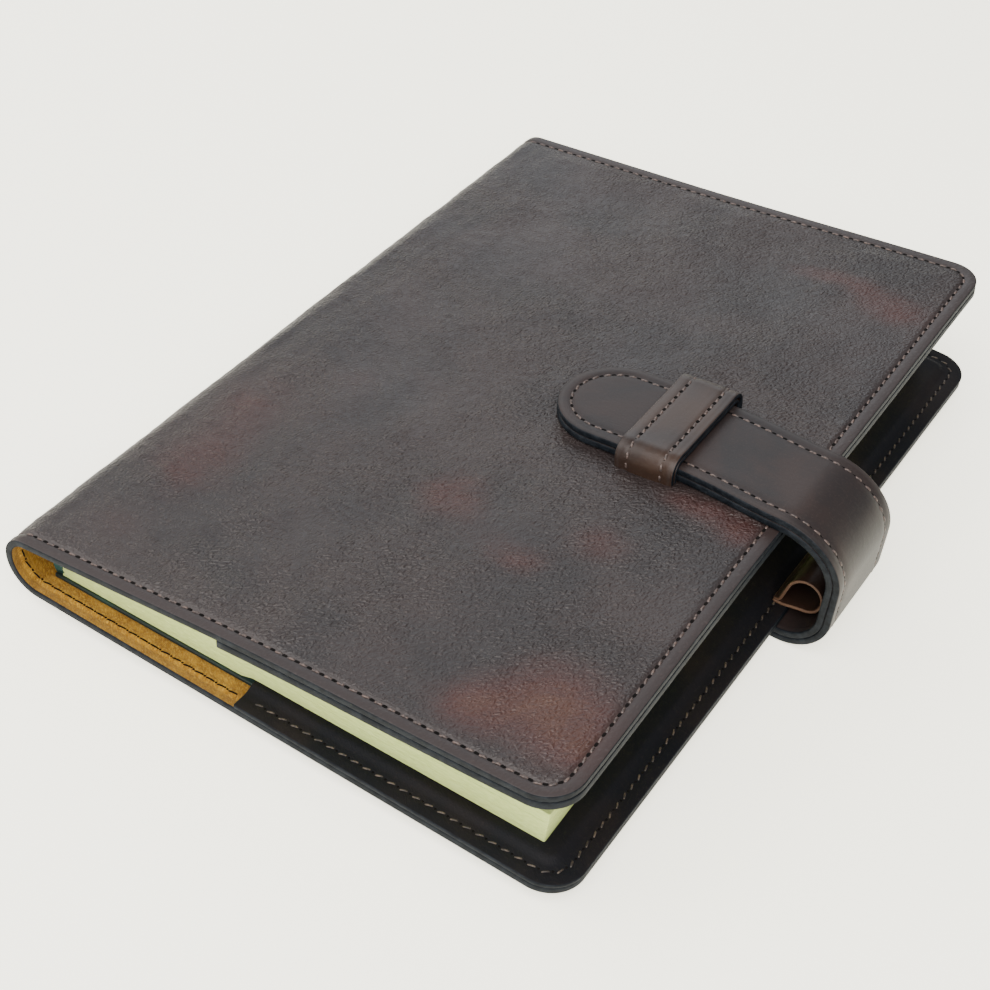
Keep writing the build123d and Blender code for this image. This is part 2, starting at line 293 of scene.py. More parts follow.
def make_light(name, place, target, size, power, colour):
    """A square panel of light at a place in millimetres, turned to its target."""
    data = bpy.data.lights.new(name, "AREA")
    data.size = size
    data.energy = power
    data.color = colour
    light = bpy.data.objects.new(name, data)
    bpy.context.scene.collection.objects.link(light)
    light.location = Vector(place) * MM
    light.rotation_euler = (Vector(target) * MM - light.location).to_track_quat("-Z", "Y").to_euler()


make_floor()
make_light("front_panel", (350, -900, 1250), (0, 0, 20), 1.7, 62, (1.0, 0.985, 0.965))
make_light("left_panel", (-1100, -350, 900), (0, 0, 20), 1.3, 22, (1.0, 0.99, 0.97))
make_light("back_panel", (-520, 820, 620), (-40, 20, 20), 0.7, 4.5, (0.88, 0.95, 1.0))
world = bpy.data.worlds.new("studio")
world.use_nodes = True
sky = world.node_tree.nodes["Background"].inputs
sky["Color"].default_value = (0.92, 0.96, 1.0, 1)
sky["Strength"].default_value = 0.42
bpy.context.scene.world = world
print(len(bpy.data.lights), "panels of light")

# %% [markdown]
# ## Shapes from profiles
# Leather is a sheet of even thickness that is cut, bent and sewn. So each piece starts as a profile: the
# line that its outer face follows in the X-Z plane, made of straight runs and arcs. A point of the sheet is
# then a distance along the profile and a distance across it.

# %% Profiles
FINE = 0.25


def run(start, end, facing):
    """A straight run as rows of x, z, facing x, facing z; the facing is the side the face looks to."""
    count = max(2, int(math.dist(start, end) / FINE))
    steps = np.linspace(0, 1, count)[:, None]
    places = (1 - steps) * np.array(start) + steps * np.array(end)
    return np.hstack([places, np.tile(facing, (count, 1))])


def bend(centre, radius, start, end):
    """An arc in degrees as the same rows; the face looks away from the centre."""
    count = max(3, int(radius * abs(math.radians(end - start)) / FINE))
    angle = np.radians(np.linspace(start, end, count))
    ray = np.stack([np.cos(angle), np.sin(angle)], 1)
    return np.hstack([np.array(centre) + radius * ray, ray])


def profile(*parts):
    """Joins runs and bends; the first column becomes the distance along the whole line."""
    rows = np.vstack(parts)
    keep = np.append(True, np.hypot(*np.diff(rows[:, :2], axis=0).T) > 1e-6)
    rows = rows[keep]
    lengths = np.hypot(*np.diff(rows[:, :2], axis=0).T)
    return np.column_stack([np.append(0, np.cumsum(lengths)), rows])


def follow(line, distance):
    """x, z and the unit facing of a profile at these distances along it."""
    x, z, face_x, face_z = (np.interp(distance, line[:, 0], column) for column in line[:, 1:].T)
    size = np.hypot(face_x, face_z)
    return x, z, face_x / size, face_z / size


def waves(across, along, size, seed, count=26):
    """Soft, even unevenness between about -1 and 1.

    It is the sum of many plane waves of nearly the same length, in all directions."""
    draw = np.random.default_rng(seed)
    angle = draw.uniform(0, 2 * np.pi, count)
    pace = 2 * np.pi / size * draw.uniform(0.6, 1.4, count)
    phase = draw.uniform(0, 2 * np.pi, count)
    shape = np.zeros(np.broadcast(across, along).shape)
    for a, p, f in zip(angle, pace, phase):
        shape += np.sin(across * p * np.cos(a) + along * p * np.sin(a) + f)
    return shape * math.sqrt(2 / count) / 1.6


def ease(value, low, high):
    """0 below low, 1 above high and smooth between."""
    t = np.clip((value - low) / (high - low), 0, 1)
    return t * t * (3 - 2 * t)


# %% [markdown]
# ## From a face to a closed sheet
# Every sheet is closed the same way. The outer face is a grid of points. The inner face is the same grid,
# moved in by the thickness. Between the two, rings of points follow the edge with a small rounding, as a
# cut edge has after it is sanded and painted.

# %% Grids
PAPER_STEP = 0.22
JOINT_ANGLE = math.radians(55)


def rounded_end(along, across, end, half, corner):
    """Draws the last stretch of a grid in, so that its end has round corners: each row stops on the arc."""
    over = np.clip(np.abs(across) - (half - corner), 0, corner)
    limit = end - corner + np.sqrt(np.maximum(corner**2 - over**2, 0))
    reach = 2.2 * corner
    near = along - (end - reach)
    return np.where(near > 0, end - reach + near * (limit - end + reach) / reach, along)


def edge_distance(from_end, from_side, corner):
    """Distance in from the edge of an outline whose corners are round."""
    inner = np.minimum(from_end, from_side)
    a, b = corner - from_end, corner - from_side
    return np.where((a > 0) & (b > 0), corner - np.hypot(a, b), inner)


def facing_of(face):
    """Unit normals of a grid of points, from the cross product of its two directions."""
    normal = np.cross(np.gradient(face, axis=0), np.gradient(face, axis=1))
    return normal / np.maximum(np.linalg.norm(normal, axis=2, keepdims=True), 1e-9)


def side_of(face, toward):
    """1 when a grid's cross product looks toward these directions, and -1 when it looks the other way."""
    return 1 if np.sum(facing_of(face) * toward) > 0 else -1


def ring_of(rows, columns):
    """Indices of a grid's border, once round."""
    grid = np.arange(rows * columns).reshape(rows, columns)
    return np.concatenate([grid[:, 0], grid[-1, 1:], grid[-2::-1, -1], grid[0, -2:0:-1]])


def add_mesh(name, points, faces, slots, materials, flat=None, measures=None):
    """Puts points, in millimetres, and faces into a new smooth mesh, with its sheet coordinates in metres."""
    mesh = bpy.data.meshes.new(name)
    mesh.from_pydata((points * MM).tolist(), [], faces.tolist())
    for material in materials:
        mesh.materials.append(material)
    mesh.polygons.foreach_set("material_index", np.asarray(slots, np.int32))
    mesh.polygons.foreach_set("use_smooth", np.ones(len(faces), bool))
    if flat is not None:
        corners = np.empty(len(mesh.loops), np.int32)
        mesh.loops.foreach_get("vertex_index", corners)
        layer = mesh.uv_layers.new(name="sheet")
        layer.data.foreach_set("uv", (flat[corners] * MM).astype(np.float32).ravel())
    for key, values in (measures or {}).items():
        layer = mesh.attributes.new(key, "FLOAT", "POINT")
        layer.data.foreach_set("value", values.astype(np.float32))
    mesh.update()
    piece = bpy.data.objects.new(name, mesh)
    bpy.context.scene.collection.objects.link(piece)
    print(name, "has", len(mesh.polygons), "faces")
    return piece


# %% The edge of a sheet
def edge_steps(thickness, lip, jitter, seed):
    """Depths down a cut edge, and how far it stands out at each.

    Near each face it stands out by sqrt(lip^2 - (lip - depth)^2), and by lip between. With jitter, the
    middle is as uneven as the edges of many sheets of paper."""
    angles = np.radians([30, 60, 90])
    depths = np.concatenate([lip * (1 - np.cos(angles)), thickness - lip * (1 - np.cos(angles[::-1]))])
    pushes = np.concatenate([lip * np.sin(angles), lip * np.sin(angles[::-1])])
    if jitter:
        draw = np.random.default_rng(seed)
        middle = np.linspace(lip, thickness - lip, max(3, int(thickness / PAPER_STEP)))[1:-1]
        depths = np.concatenate([depths[:3], middle, depths[3:]])
        pushes = np.concatenate([pushes[:3], lip - jitter * draw.uniform(0, 1, len(middle)), pushes[3:]])
    return depths, pushes


def outward(border, up, centre, joint):
    """Unit directions out of a border, square to the border and to up.

    The border's points after the index joint lie on a butt joint and stay where they are."""
    tangent = np.roll(border, -1, 0) - np.roll(border, 1, 0)
    if joint:
        tangent[0] = border[1] - border[0]
        tangent[joint] = border[joint] - border[joint - 1]
    out = np.cross(tangent, up)
    out /= np.maximum(np.linalg.norm(out, axis=1, keepdims=True), 1e-9)
    if np.sum((border - centre) * out) < 0:
        out = -out
    if joint:
        out[joint + 1:] = 0
    return out


# %% The closed sheet
def close_sheet(
    name, face, flat, thickness, lip, materials, measures=None, facing=1, joined=False, jitter=0.0
):
    """A closed sheet from its outer face, a grid (n, m, 3) that looks to facing times facing_of.

    The inner face is the grid moved in by the thickness, which is one number or one for each point, and
    rings round the border join the two. With joined, the first row is a butt joint and isn't pushed out.
    The materials are those of the outer face, the edge and the inner face."""
    rows, columns = face.shape[:2]
    normal = facing * facing_of(face)
    depth = np.broadcast_to(thickness, (rows, columns))
    outer = face.reshape(-1, 3)
    inner = (face - normal * depth[..., None]).reshape(-1, 3)
    ring = ring_of(rows, columns)
    thinnest = float(depth.min())
    deeper = depth.ravel()[ring] / thinnest
    border, up = outer[ring], normal.reshape(-1, 3)[ring]
    joint = 2 * rows + columns - 3 if joined else 0
    out = outward(border, up, outer.mean(0), joint)
    depths, pushes = edge_steps(thinnest, lip, jitter, len(name))
    rings = border + out * pushes[:, None, None] - up * (depths[:, None] * deeper)[..., None]
    points = np.vstack([outer, rings.reshape(-1, 3), inner])

    grid = np.arange(rows * columns).reshape(rows, columns)
    quads = np.stack([grid[:-1, :-1], grid[1:, :-1], grid[1:, 1:], grid[:-1, 1:]], -1).reshape(-1, 4)
    shift = len(outer) + rings.shape[0] * len(ring)
    loops = [ring]
    loops += [len(outer) + k * len(ring) + np.arange(len(ring)) for k in range(len(depths))]
    loops.append(ring + shift)
    side = np.vstack([np.stack([a, b, np.roll(b, -1), np.roll(a, -1)], -1) for a, b in zip(loops, loops[1:])])
    if facing < 0:
        quads = quads[:, ::-1]
        side = side[:, ::-1]
    faces = np.vstack([quads, side, quads[:, ::-1] + shift])
    slots = np.repeat([0, 1, 2], [len(quads) + len(ring), len(side) - len(ring), len(quads)])

    places = flat.reshape(-1, 2)
    rim_flat = np.tile(places[ring], (len(depths), 1)) + np.repeat(depths, len(ring))[:, None] * 0.7
    all_flat = np.vstack([places, rim_flat, places])
    stored = {}
    for key, grid_values in (measures or {}).items():
        values = grid_values.ravel()
        stored[key] = np.concatenate([values, np.tile(values[ring], len(depths)), values])
    sheet = add_mesh(name, points, faces, slots, materials, all_flat, stored)
    if joined:
        sheet.data.set_sharp_from_angle(angle=JOINT_ANGLE)
    return sheet


# %% [markdown]
# ## Sewing
# Saddle stitching leaves a row of short, slightly slanted stitches, each one going down into a hole. One
# stitch is a small bent capsule of a few dozen faces. It is repeated along the seam as whole arrays, and
# each hole is a small dimple between two stitches, painted dark as the shade inside it.

# %% Stitches
PITCH = 3.2
STITCH_ROUND = 8
STITCH_RINGS = 7
STITCH_SINK = 0.55
DIMPLE_WIDTH = 0.86
DIMPLE_DEPTH = 0.26


def capsule(length, width, rise, sink):
    """Points (along, across, up) of one stitch.

    It is a tube that narrows to a tip at both ends: its middle rises by rise * (1 - t^2) and its ends go
    down by sink * t^4, for t from -1 to 1."""
    t = np.linspace(-1, 1, STITCH_RINGS)[:, None]
    turn = np.linspace(0, 2 * np.pi, STITCH_ROUND, endpoint=False)[None, :]
    radius = width / 2 * np.sqrt(np.clip(1 - np.abs(t) ** 5, 0.02, 1))
    lift = rise * (1 - t**2) - sink * np.abs(t) ** 4
    along = np.broadcast_to(length / 2 * t, radius.shape[:1] + turn.shape[1:])
    return np.stack([along, radius * np.cos(turn), lift + 0.8 * radius * np.sin(turn)], -1).reshape(-1, 3)


def capsule_faces():
    """Quads round the tube, and the three quads that close each of its eight-sided ends."""
    ring = np.arange(STITCH_ROUND)
    bands = []
    for k in range(STITCH_RINGS - 1):
        a, b = k * STITCH_ROUND + ring, (k + 1) * STITCH_ROUND + ring
        bands += np.stack([a, np.roll(a, -1), np.roll(b, -1), b], -1).tolist()
    last = (STITCH_RINGS - 1) * STITCH_ROUND
    halves = [[0, 7, 6, 5], [0, 5, 4, 3], [0, 3, 2, 1]]
    bands += halves
    bands += [[last + i for i in reversed(quad)] for quad in halves]
    return np.array(bands)


def even_places(points, pitch):
    """Middle points and directions at an even pitch along a polyline."""
    gaps = np.linalg.norm(np.diff(points, axis=0), axis=1)
    along = np.append(0, np.cumsum(gaps))
    count = max(1, int(round(along[-1] / pitch)))
    marks = (np.arange(count) + 0.5) * along[-1] / count
    place = np.stack([np.interp(marks, along, column) for column in points.T], 1)
    ahead = np.stack([np.interp(marks + 0.6, along, column) for column in points.T], 1)
    behind = np.stack([np.interp(marks - 0.6, along, column) for column in points.T], 1)
    direction = ahead - behind
    return place, direction / np.linalg.norm(direction, axis=1, keepdims=True)


def sew(name, points, facing, materials, width=0.6, lean=7.0, rise=0.09, length=0.76, pitch=PITCH, hole=1.3):
    """Stitches, and the holes between them, along a line of points on a face.

    Facing is the face's unit normal at each point. A stitch leans by a few degrees to its seam, and takes up
    a share of the pitch, its length. A hole is as long as hole says, in millimetres."""
    place, direction = even_places(points, pitch)
    step = np.argmin(np.linalg.norm(points[None] - place[:, None], axis=2), axis=1)
    up = facing[step]
    up = up - np.sum(up * direction, 1, keepdims=True) * direction
    up /= np.linalg.norm(up, axis=1, keepdims=True)
    across = np.cross(up, direction)
    draw = np.random.default_rng(len(place))
    turn = np.radians(lean + draw.normal(0, 2.5, len(place)))[:, None]
    ahead = direction * np.cos(turn) + across * np.sin(turn)
    aside = np.cross(up, ahead)
    axes = np.stack([ahead, aside, up], 1)
    shape = capsule(length * pitch, width, rise, STITCH_SINK)
    stitches = place[:, None] + np.einsum("kj,njd->nkd", shape, axes)
    hole_places = place[:-1] + np.diff(place, axis=0) / 2
    dimple = capsule(hole, DIMPLE_WIDTH * hole, 0.0, 0.0) * np.array([1, 1, DIMPLE_DEPTH])
    hole_axes = np.stack([direction, across, up], 1)[:-1]
    holes = hole_places[:, None] + np.einsum("kj,njd->nkd", dimple, hole_axes)
    points = np.concatenate([stitches, holes]).reshape(-1, 3)
    one = capsule_faces()
    shifts = np.arange(len(stitches) + len(holes)) * len(shape)
    faces = (one[None] + shifts[:, None, None]).reshape(-1, 4)
    slots = np.repeat([0] * len(stitches) + [1] * len(holes), len(one))
    return add_mesh(name, points, faces, slots, materials)


# %% [markdown]
# ## The hide's finish
# The hide was dyed by hand, so a dark brown lies unevenly over red, and the grain shows as small pebbles
# with fine creases between them. A picture of leather could be wrapped round it, but a recipe of cells and
# noise has no seams and no limit of sharpness. Grain follows the sheet coordinates, so it bends with the
# leather, and it lies at an angle, because the hide was cut across the skin's own direction.

# %% Hide leather
GRAIN_TURN = -0.49


def hide_leather():
    """Pebbled hide: dark brown over patches of red, small grain, long creases and a smooth border."""
    leather = Finish("hide_leather")
    place = leather.sheet_place()
    field = leather.measure("edge").step(0.0032, 0.0050)
    red = leather.measure("red")
    cloud = leather.noise(place, 42.0, 4.0, 0.62, 0.8)
    patch = (red * cloud * 2.3).step(0.20, 1.35)
    dark = leather.noise(place, 21.0, 3.0, 0.6, 0.3).step(0.40, 0.66)
    mottle = leather.noise(place, 380.0, 3.0, 0.7)
    colour = leather.mix(dark, (0.0196, 0.0128, 0.0119), (0.0124, 0.0089, 0.0089))
    colour = leather.mix(patch * 0.85, colour, (0.0360, 0.0105, 0.0082))
    colour = leather.mix((red * cloud * 2.0).step(0.90, 1.60) * 0.48, colour, (0.0620, 0.0240, 0.0095))
    # Outside the seam the colour is darker: painted shade, which tones down the highlight that the smooth
    # border catches.
    colour = leather.mix((1 - field) * 0.60, colour, (0.0150, 0.0080, 0.0070))
    across = leather.stretch(place, (1.9, 1.0, 1.0), GRAIN_TURN)
    long_grain = leather.cells(leather.warp(across, 260.0, 0.0016), 520.0).step(0.0, 0.38)
    small = leather.cells(leather.warp(place, 800.0, 0.0008), 950.0).step(0.0, 0.40)
    creases = leather.noise(leather.stretch(place, (3.0, 1.0, 1.0), GRAIN_TURN), 120.0, 4.0, 0.6, 0.8)
    rumpled = leather.noise(place, 24.0, 2.0, 0.5).step(0.36, 0.64)
    # A lighter colour on the tops of the pebbles is a painted highlight: glints of light on the grain.
    colour = leather.mix(small * long_grain * mottle * 0.38, colour, (0.0640, 0.0420, 0.0370))
    grain = small * 0.30 + long_grain * (rumpled * 0.45 + 0.25) + creases * (rumpled * 1.2 + 0.5)
    normal = leather.bump(grain * (field * 0.85 + 0.15), 0.00036, 0.95)
    rough = 0.41 + mottle * 0.16 + (1 - field) * 0.06 - small * 0.06
    leather.set(Specular_IOR_Level=0.42)
    return leather.set(Base_Color=colour, Roughness=rough, Normal=normal)


# %% [markdown]
# ## Smooth leather, painted edges and suede
# The strap, the keeper and the pen loop are smooth leather with almost no grain, so their finish is pores,
# faint clouds and gloss. Cut edges are painted a cool dark grey. The flesh side of the hide is left as golden
# suede, whose short fibres scatter the light, and the pockets are soft and dark, with the shade between the
# covers painted in so that they look nearly black.

# %% Smooth leather
def strap_leather(name, colours, roughness, coat):
    """Smooth dyed leather: faint clouding, fine pores and a light crease line near its edge."""
    leather = Finish(name)
    place = leather.sheet_place()
    edge = leather.measure("edge")
    cloud = leather.noise(place, 45.0, 3.0, 0.6, 0.5).step(0.36, 0.68)
    speck = leather.noise(place, 1500.0, 2.0, 0.6)
    crease = edge.step(0.0004, 0.0010) * (1 - edge.step(0.0010, 0.0017))
    colour = leather.mix(cloud, *colours)
    colour = leather.mix(speck.step(0.52, 0.70) * 0.22, colour, (0.045, 0.032, 0.028))
    colour = leather.mix(crease * 0.20, colour, (0.045, 0.038, 0.036))
    pores = leather.noise(place, 900.0, 3.0, 0.6)
    wrinkles = leather.noise(leather.stretch(place, (1.0, 3.0, 1.0)), 120.0, 3.0, 0.6, 0.8)
    normal = leather.bump(pores * 0.4 + wrinkles * 0.7, 0.00016, 0.5)
    leather.set(Specular_IOR_Level=0.22, Coat_Roughness=0.3)
    roughness = roughness + speck * 0.14
    return leather.set(Base_Color=colour, Roughness=roughness, Normal=normal, Coat_Weight=coat)


# %% Edge paint
def edge_paint():
    """The painted cut edge: cool grey, brushed along its length, a little worn."""
    paint = Finish("edge_paint")
    place = paint.object_place()
    streak = paint.noise(paint.stretch(place, (1.0, 1.0, 1.4)), 420.0, 4.0, 0.65)
    worn = paint.noise(place, 700.0, 3.0, 0.7).step(0.60, 0.78)
    colour = paint.mix(streak.step(0.35, 0.68), (0.0030, 0.0042, 0.0062), (0.0100, 0.0125, 0.0160))
    colour = paint.mix(worn * 0.35, colour, (0.034, 0.036, 0.036))
    paint.set(Specular_IOR_Level=0.10)
    normal = paint.bump(streak + worn * 0.4, 0.00022, 0.5)
    return paint.set(Base_Color=colour, Roughness=0.60 + worn * 0.2, Normal=normal)


# %% Suede
def suede():
    """The hide's flesh side: golden fibres, brushed this way and that."""
    nap = Finish("golden_suede")
    place = nap.sheet_place()
    brushed = nap.noise(place, 160.0, 4.0, 0.65, 1.0)
    fibres = nap.noise(nap.stretch(place, (1.0, 2.2, 1.0), 0.7), 1000.0, 4.0, 0.75, 0.8)
    colour = nap.mix(brushed.step(0.35, 0.65), (0.235, 0.106, 0.0075), (0.365, 0.182, 0.0160))
    colour = nap.mix(fibres.step(0.46, 0.62) * 0.60, colour, (0.560, 0.320, 0.0430))
    # The darker colour near the hide's edge, beyond the seam, is painted shade.
    border = 1 - nap.measure("edge").step(0.0022, 0.0032)
    colour = nap.mix(border * 0.35, colour, (0.110, 0.052, 0.012))
    normal = nap.bump(fibres + brushed * 0.4, 0.0008, 1.0)
    nap.set(Specular_IOR_Level=0.15, Sheen_Weight=0.06, Sheen_Roughness=0.5)
    return nap.set(Base_Color=colour, Roughness=0.95, Normal=normal)


# %% Pocket leather
def pocket_leather():
    """The pockets' dark lining leather, with painted shade that makes it nearly black and bluish; soft, with
    faint creases.
    """
    leather = Finish("pocket_leather")
    place = leather.sheet_place()
    cloud = leather.noise(place, 35.0, 3.0, 0.55, 0.3).step(0.4, 0.7)
    creases = leather.noise(leather.stretch(place, (1.0, 2.0, 1.0), 0.8), 260.0, 4.0, 0.6, 0.9)
    fine = leather.noise(place, 1200.0, 3.0, 0.6)
    # The two colours are the lining's dark tone with the shade between the covers painted in, nearly black
    # and bluish.
    colour = leather.mix(cloud, (0.0030, 0.0032, 0.0048), (0.0090, 0.0064, 0.0064))
    colour = leather.mix(fine.step(0.55, 0.72) * 0.20, colour, (0.032, 0.023, 0.019))
    normal = leather.bump(creases + fine * 0.5, 0.0002, 0.6)
    leather.set(Specular_IOR_Level=0.15)
    return leather.set(Base_Color=colour, Roughness=0.62 + fine * 0.15, Normal=normal)


# %% [markdown]
# ## Thread, paper and book cloth
# These show in small areas only, but each one catches the eye where it is too even: thread has light and
# dark fibres, a block of pages has fine lines along its cut edges, and book cloth is rubbed.

# %% Thread, paper and cloth
def thread(name, colour, light):
    """Waxed thread: light fibres over a darker ply, turned so that they don't follow the seams."""
    fibre = Finish(name)
    place = fibre.object_place()
    ply = fibre.noise(fibre.stretch(place, (1.0, 1.0, 1.0), 0.8), 1600.0, 2.0, 0.6)
    mixed = fibre.mix(ply.step(0.40, 0.62), colour, light)
    normal = fibre.bump(ply, 0.0002, 0.6)
    return fibre.set(Base_Color=mixed, Roughness=0.5, Normal=normal)


def plain_dark():
    """The shadowed inside of a needle hole."""
    dark = Finish("needle_hole")
    place = dark.object_place()
    hole_shade_mottle = dark.noise(place, 900.0, 2.0)
    # The hole's near-black colour is painted shade, mottled a little.
    colour = dark.mix(hole_shade_mottle.step(0.4, 0.7), (0.0022, 0.0018, 0.0016), (0.006, 0.0045, 0.004))
    dark.set(Specular_IOR_Level=0.1)
    return dark.set(Base_Color=colour, Roughness=0.95)


def page_paper():
    """Pale green-yellow paper: fine level lines on the cut edges, and a faint cloud on the top."""
    paper = Finish("page_paper")
    place = paper.object_place()
    sheets = paper.noise(paper.stretch(place, (0.06, 0.06, 1.0)), 9000.0, 2.0, 0.7)
    shade = paper.noise(place, 30.0, 2.0, 0.5)
    colour = paper.mix(sheets.step(0.35, 0.65), (0.400, 0.480, 0.150), (0.540, 0.620, 0.240))
    colour = paper.mix(shade.step(0.4, 0.7) * 0.3, colour, (0.500, 0.540, 0.190))
    normal = paper.bump(sheets, 0.00006, 0.5)
    paper.set(Specular_IOR_Level=0.3)
    return paper.set(Base_Color=colour, Roughness=0.75, Normal=normal)


def board_cloth(name, colours):
    """The notebook's green covering, with a fine book-cloth grain."""
    cloth = Finish(name)
    place = cloth.object_place()
    weave = cloth.noise(cloth.stretch(place, (1.0, 1.6, 1.0)), 2200.0, 3.0, 0.6)
    rubbed = cloth.noise(place, 130.0, 3.0, 0.6).step(0.45, 0.72)
    colour = cloth.mix(rubbed, *colours)
    normal = cloth.bump(weave, 0.00012, 0.5)
    return cloth.set(Base_Color=colour, Roughness=0.5 + weave * 0.2, Normal=normal)


# %% [markdown]
# ## The finishes of this cover
# Each finish is made once and shared by all pieces of that material. Two colours are given where a finish
# clouds from a darker to a lighter one.

# %% All finishes
STRAP_COLOURS = ((0.0130, 0.0102, 0.0104), (0.0205, 0.0130, 0.0116))
KEEPER_COLOURS = ((0.0165, 0.0102, 0.0084), (0.0280, 0.0145, 0.0092))
LOOP_COLOURS = ((0.014, 0.0072, 0.0052), (0.028, 0.0135, 0.0085))
LOOP_EDGE_COLOURS = ((0.070, 0.036, 0.022), (0.120, 0.065, 0.040))

HIDE = hide_leather()
STRAP_LEATHER = strap_leather("strap_leather", STRAP_COLOURS, 0.44, 0.02)
KEEPER = strap_leather("keeper_leather", KEEPER_COLOURS, 0.34, 0.07)
LOOP = strap_leather("pen_loop_leather", LOOP_COLOURS, 0.36, 0.12)
LOOP_EDGE = strap_leather("pen_loop_edge", LOOP_EDGE_COLOURS, 0.5, 0.0)
EDGE = edge_paint()
SUEDE = suede()
POCKET_LEATHER = pocket_leather()
THREAD = thread("brown_thread", (0.0280, 0.0185, 0.0160), (0.0950, 0.0630, 0.0520))
PALE_THREAD = thread("tan_thread", (0.0200, 0.0145, 0.0110), (0.0850, 0.0600, 0.0420))
HOLE = plain_dark()
PAPER = page_paper()
# The boards take the book cloth darkened to a near-black green: painted shade, for the shade they lie in.
SHADED_BOARD_CLOTH = board_cloth("shaded_book_cloth", ((0.0020, 0.0100, 0.0090), (0.0030, 0.0230, 0.0170)))
SPINE_CLOTH = board_cloth("teal_book_cloth", ((0.0020, 0.0340, 0.0320), (0.0030, 0.0720, 0.0560)))
SEWN = (THREAD, HOLE)
print(len(bpy.data.materials), "materials, with the packed model's own")

# Each kind of piece has its own stretch of the sheet coordinates, so that no two show the same grain.
GRAIN_AT = {"lining": 90, "lower_strap": 200, "pocket": 400, "keeper": 500, "pen_loop": 600, "book": 800}
GRAIN_AT["book_spine"] = 900

# %% [markdown]
# ## The hide
# The hide is one sheet: flat under the notebook, round the spine and up the front, which stands open a
# little because the notebook is thick. Its profile is two straight runs with a bend at each side of the
# spine. It folds at the spine when the cover opens, so the sheet is cut in the middle of the spine into a
# back part and a front part, each of which crosses one hinge. Both come from one function, so they
# meet without a step.

# %% The hide's profile
def front_place(u, height=0.0):
    """x and z of a point at a distance u along the front cover and a height over its outer face."""
    x = SPINE_X + u * np.cos(TILT) - height * np.sin(TILT)
    z = FRONT_Z + u * np.sin(TILT) + height * np.cos(TILT)
    return x, z


FRONT_FACING = (-math.sin(TILT), math.cos(TILT))
lower_centre = (SPINE_X + LOWER_BEND, BACK_Z + LOWER_BEND)
upper_centre = (SPINE_X + UPPER_BEND, FRONT_Z + UPPER_BEND * (math.tan(TILT) - 1 / math.cos(TILT)))
front_start = UPPER_BEND * math.tan((math.pi / 2 - TILT) / 2)
HIDE_LINE = profile(
    run((FORE_X, BACK_Z), (lower_centre[0], BACK_Z), (0, -1)),
    bend(lower_centre, LOWER_BEND, 270, 180),
    run((SPINE_X, lower_centre[1]), (SPINE_X, upper_centre[1]), (-1, 0)),
    bend(upper_centre, UPPER_BEND, 180, 90 + math.degrees(TILT)),
    run(front_place(front_start), front_place(FRONT_WIDTH), FRONT_FACING),
)
HIDE_END = HIDE_LINE[-1, 0]
SPINE_MIDDLE = BACK_WIDTH - LOWER_BEND + LOWER_BEND * math.pi / 2
FRONT_AT_ZERO = HIDE_END - FRONT_WIDTH
print("the hide is", round(HIDE_END, 1), "mm from fore-edge to fore-edge")


# %% [markdown]
# ## The hide's relief
# Flat leather would look like card. What makes it leather is small: the seam pulls a groove, the border
# beyond it domes, the field swells, and it wrinkles where the strap and the keeper pull at it. All of this
# is one height over the profile, worked out for the whole grid at once.

# %% Relief
def hide_edge(s, y):
    """Distance in from the hide's edge at a distance s along its profile."""
    return edge_distance(np.minimum(s, HIDE_END - s), HALF_HEIGHT - np.abs(y), CORNER)


TAIL_HANG = 3.0
HEAD_RISE = 1.3


def settle(s, y):
    """How far the soft front cover hangs down at its tail corner and stands up at its head corner."""
    out = ease(s - FRONT_AT_ZERO, 55, FRONT_WIDTH)
    return out * (HEAD_RISE * ease(y, 24, HALF_HEIGHT) - TAIL_HANG * ease(-y, 16, HALF_HEIGHT))


def hide_relief(s, y):
    """Height of the hide over its plain profile, in millimetres.

    A groove under the stitches, a domed border, a field that swells and sags, a soft ridge beside the spine,
    and close creases round the strap and the keeper's feet, where the hide is pulled."""
    d = hide_edge(s, y)
    u = s - FRONT_AT_ZERO
    field = ease(d, SEAM, SEAM + 6)
    groove = -0.26 * np.exp(-(((d - SEAM) / 0.55) ** 2))
    dome = 0.10 * np.exp(-(((d - 1.7) / 1.0) ** 2)) + 0.12 * ease(d, SEAM, SEAM + 1.6)
    front = ease(u, 2, 12)
    calm = 0.25 + 0.75 * ease(u, 10, 42)
    swell = calm * (0.30 * waves(s, y, 55, 3) + 0.13 * waves(s, y, 17, 5)) + 0.05 * waves(s, y * 1.5, 6, 9)
    ridge = 0.30 * np.exp(-(((u - 17 - 2 * np.sin(y / 37)) / 8) ** 2)) * (1 + 0.3 * waves(0, y, 45, 21))
    fold = 0.10 * waves(s, y * 0.25, 5, 12) * np.exp(-(((u - 6) / 12) ** 2))
    across = np.abs(y - STRAP_CENTRE)
    under_strap = front * ease(STRAP_HALF + 2.5 - across, 0, 3) * ease(u, STRAP_TIP - 3, STRAP_TIP + 1)
    beside = np.exp(-(((across - STRAP_HALF - 5) / 4.5) ** 2)) * ease(u, 88, 104)
    feet = np.exp(-(((across - KEEPER_HALF) / 2.2) ** 2) - ((u - KEEPER_U) / 9.5) ** 2)
    pulled = beside * (0.16 * waves(s * 0.35, y, 3.2, 33) + 0.10 * waves(s, y * 0.5, 4.0, 34))
    relief = groove + dome + field * (swell + front * (ridge + pulled)) + fold * field
    return relief * (1 - under_strap) - 0.15 * under_strap - 0.35 * front * feet


def hide_face(s, y, lift=0.0):
    """Points of the hide's outer face, with its relief, plus a lift off the face."""
    x, z, face_x, face_z = follow(HIDE_LINE, s)
    height = hide_relief(s, y) + settle(s, y) + lift
    return np.stack([x + face_x * height, np.broadcast_to(y, x.shape), z + face_z * height], -1)


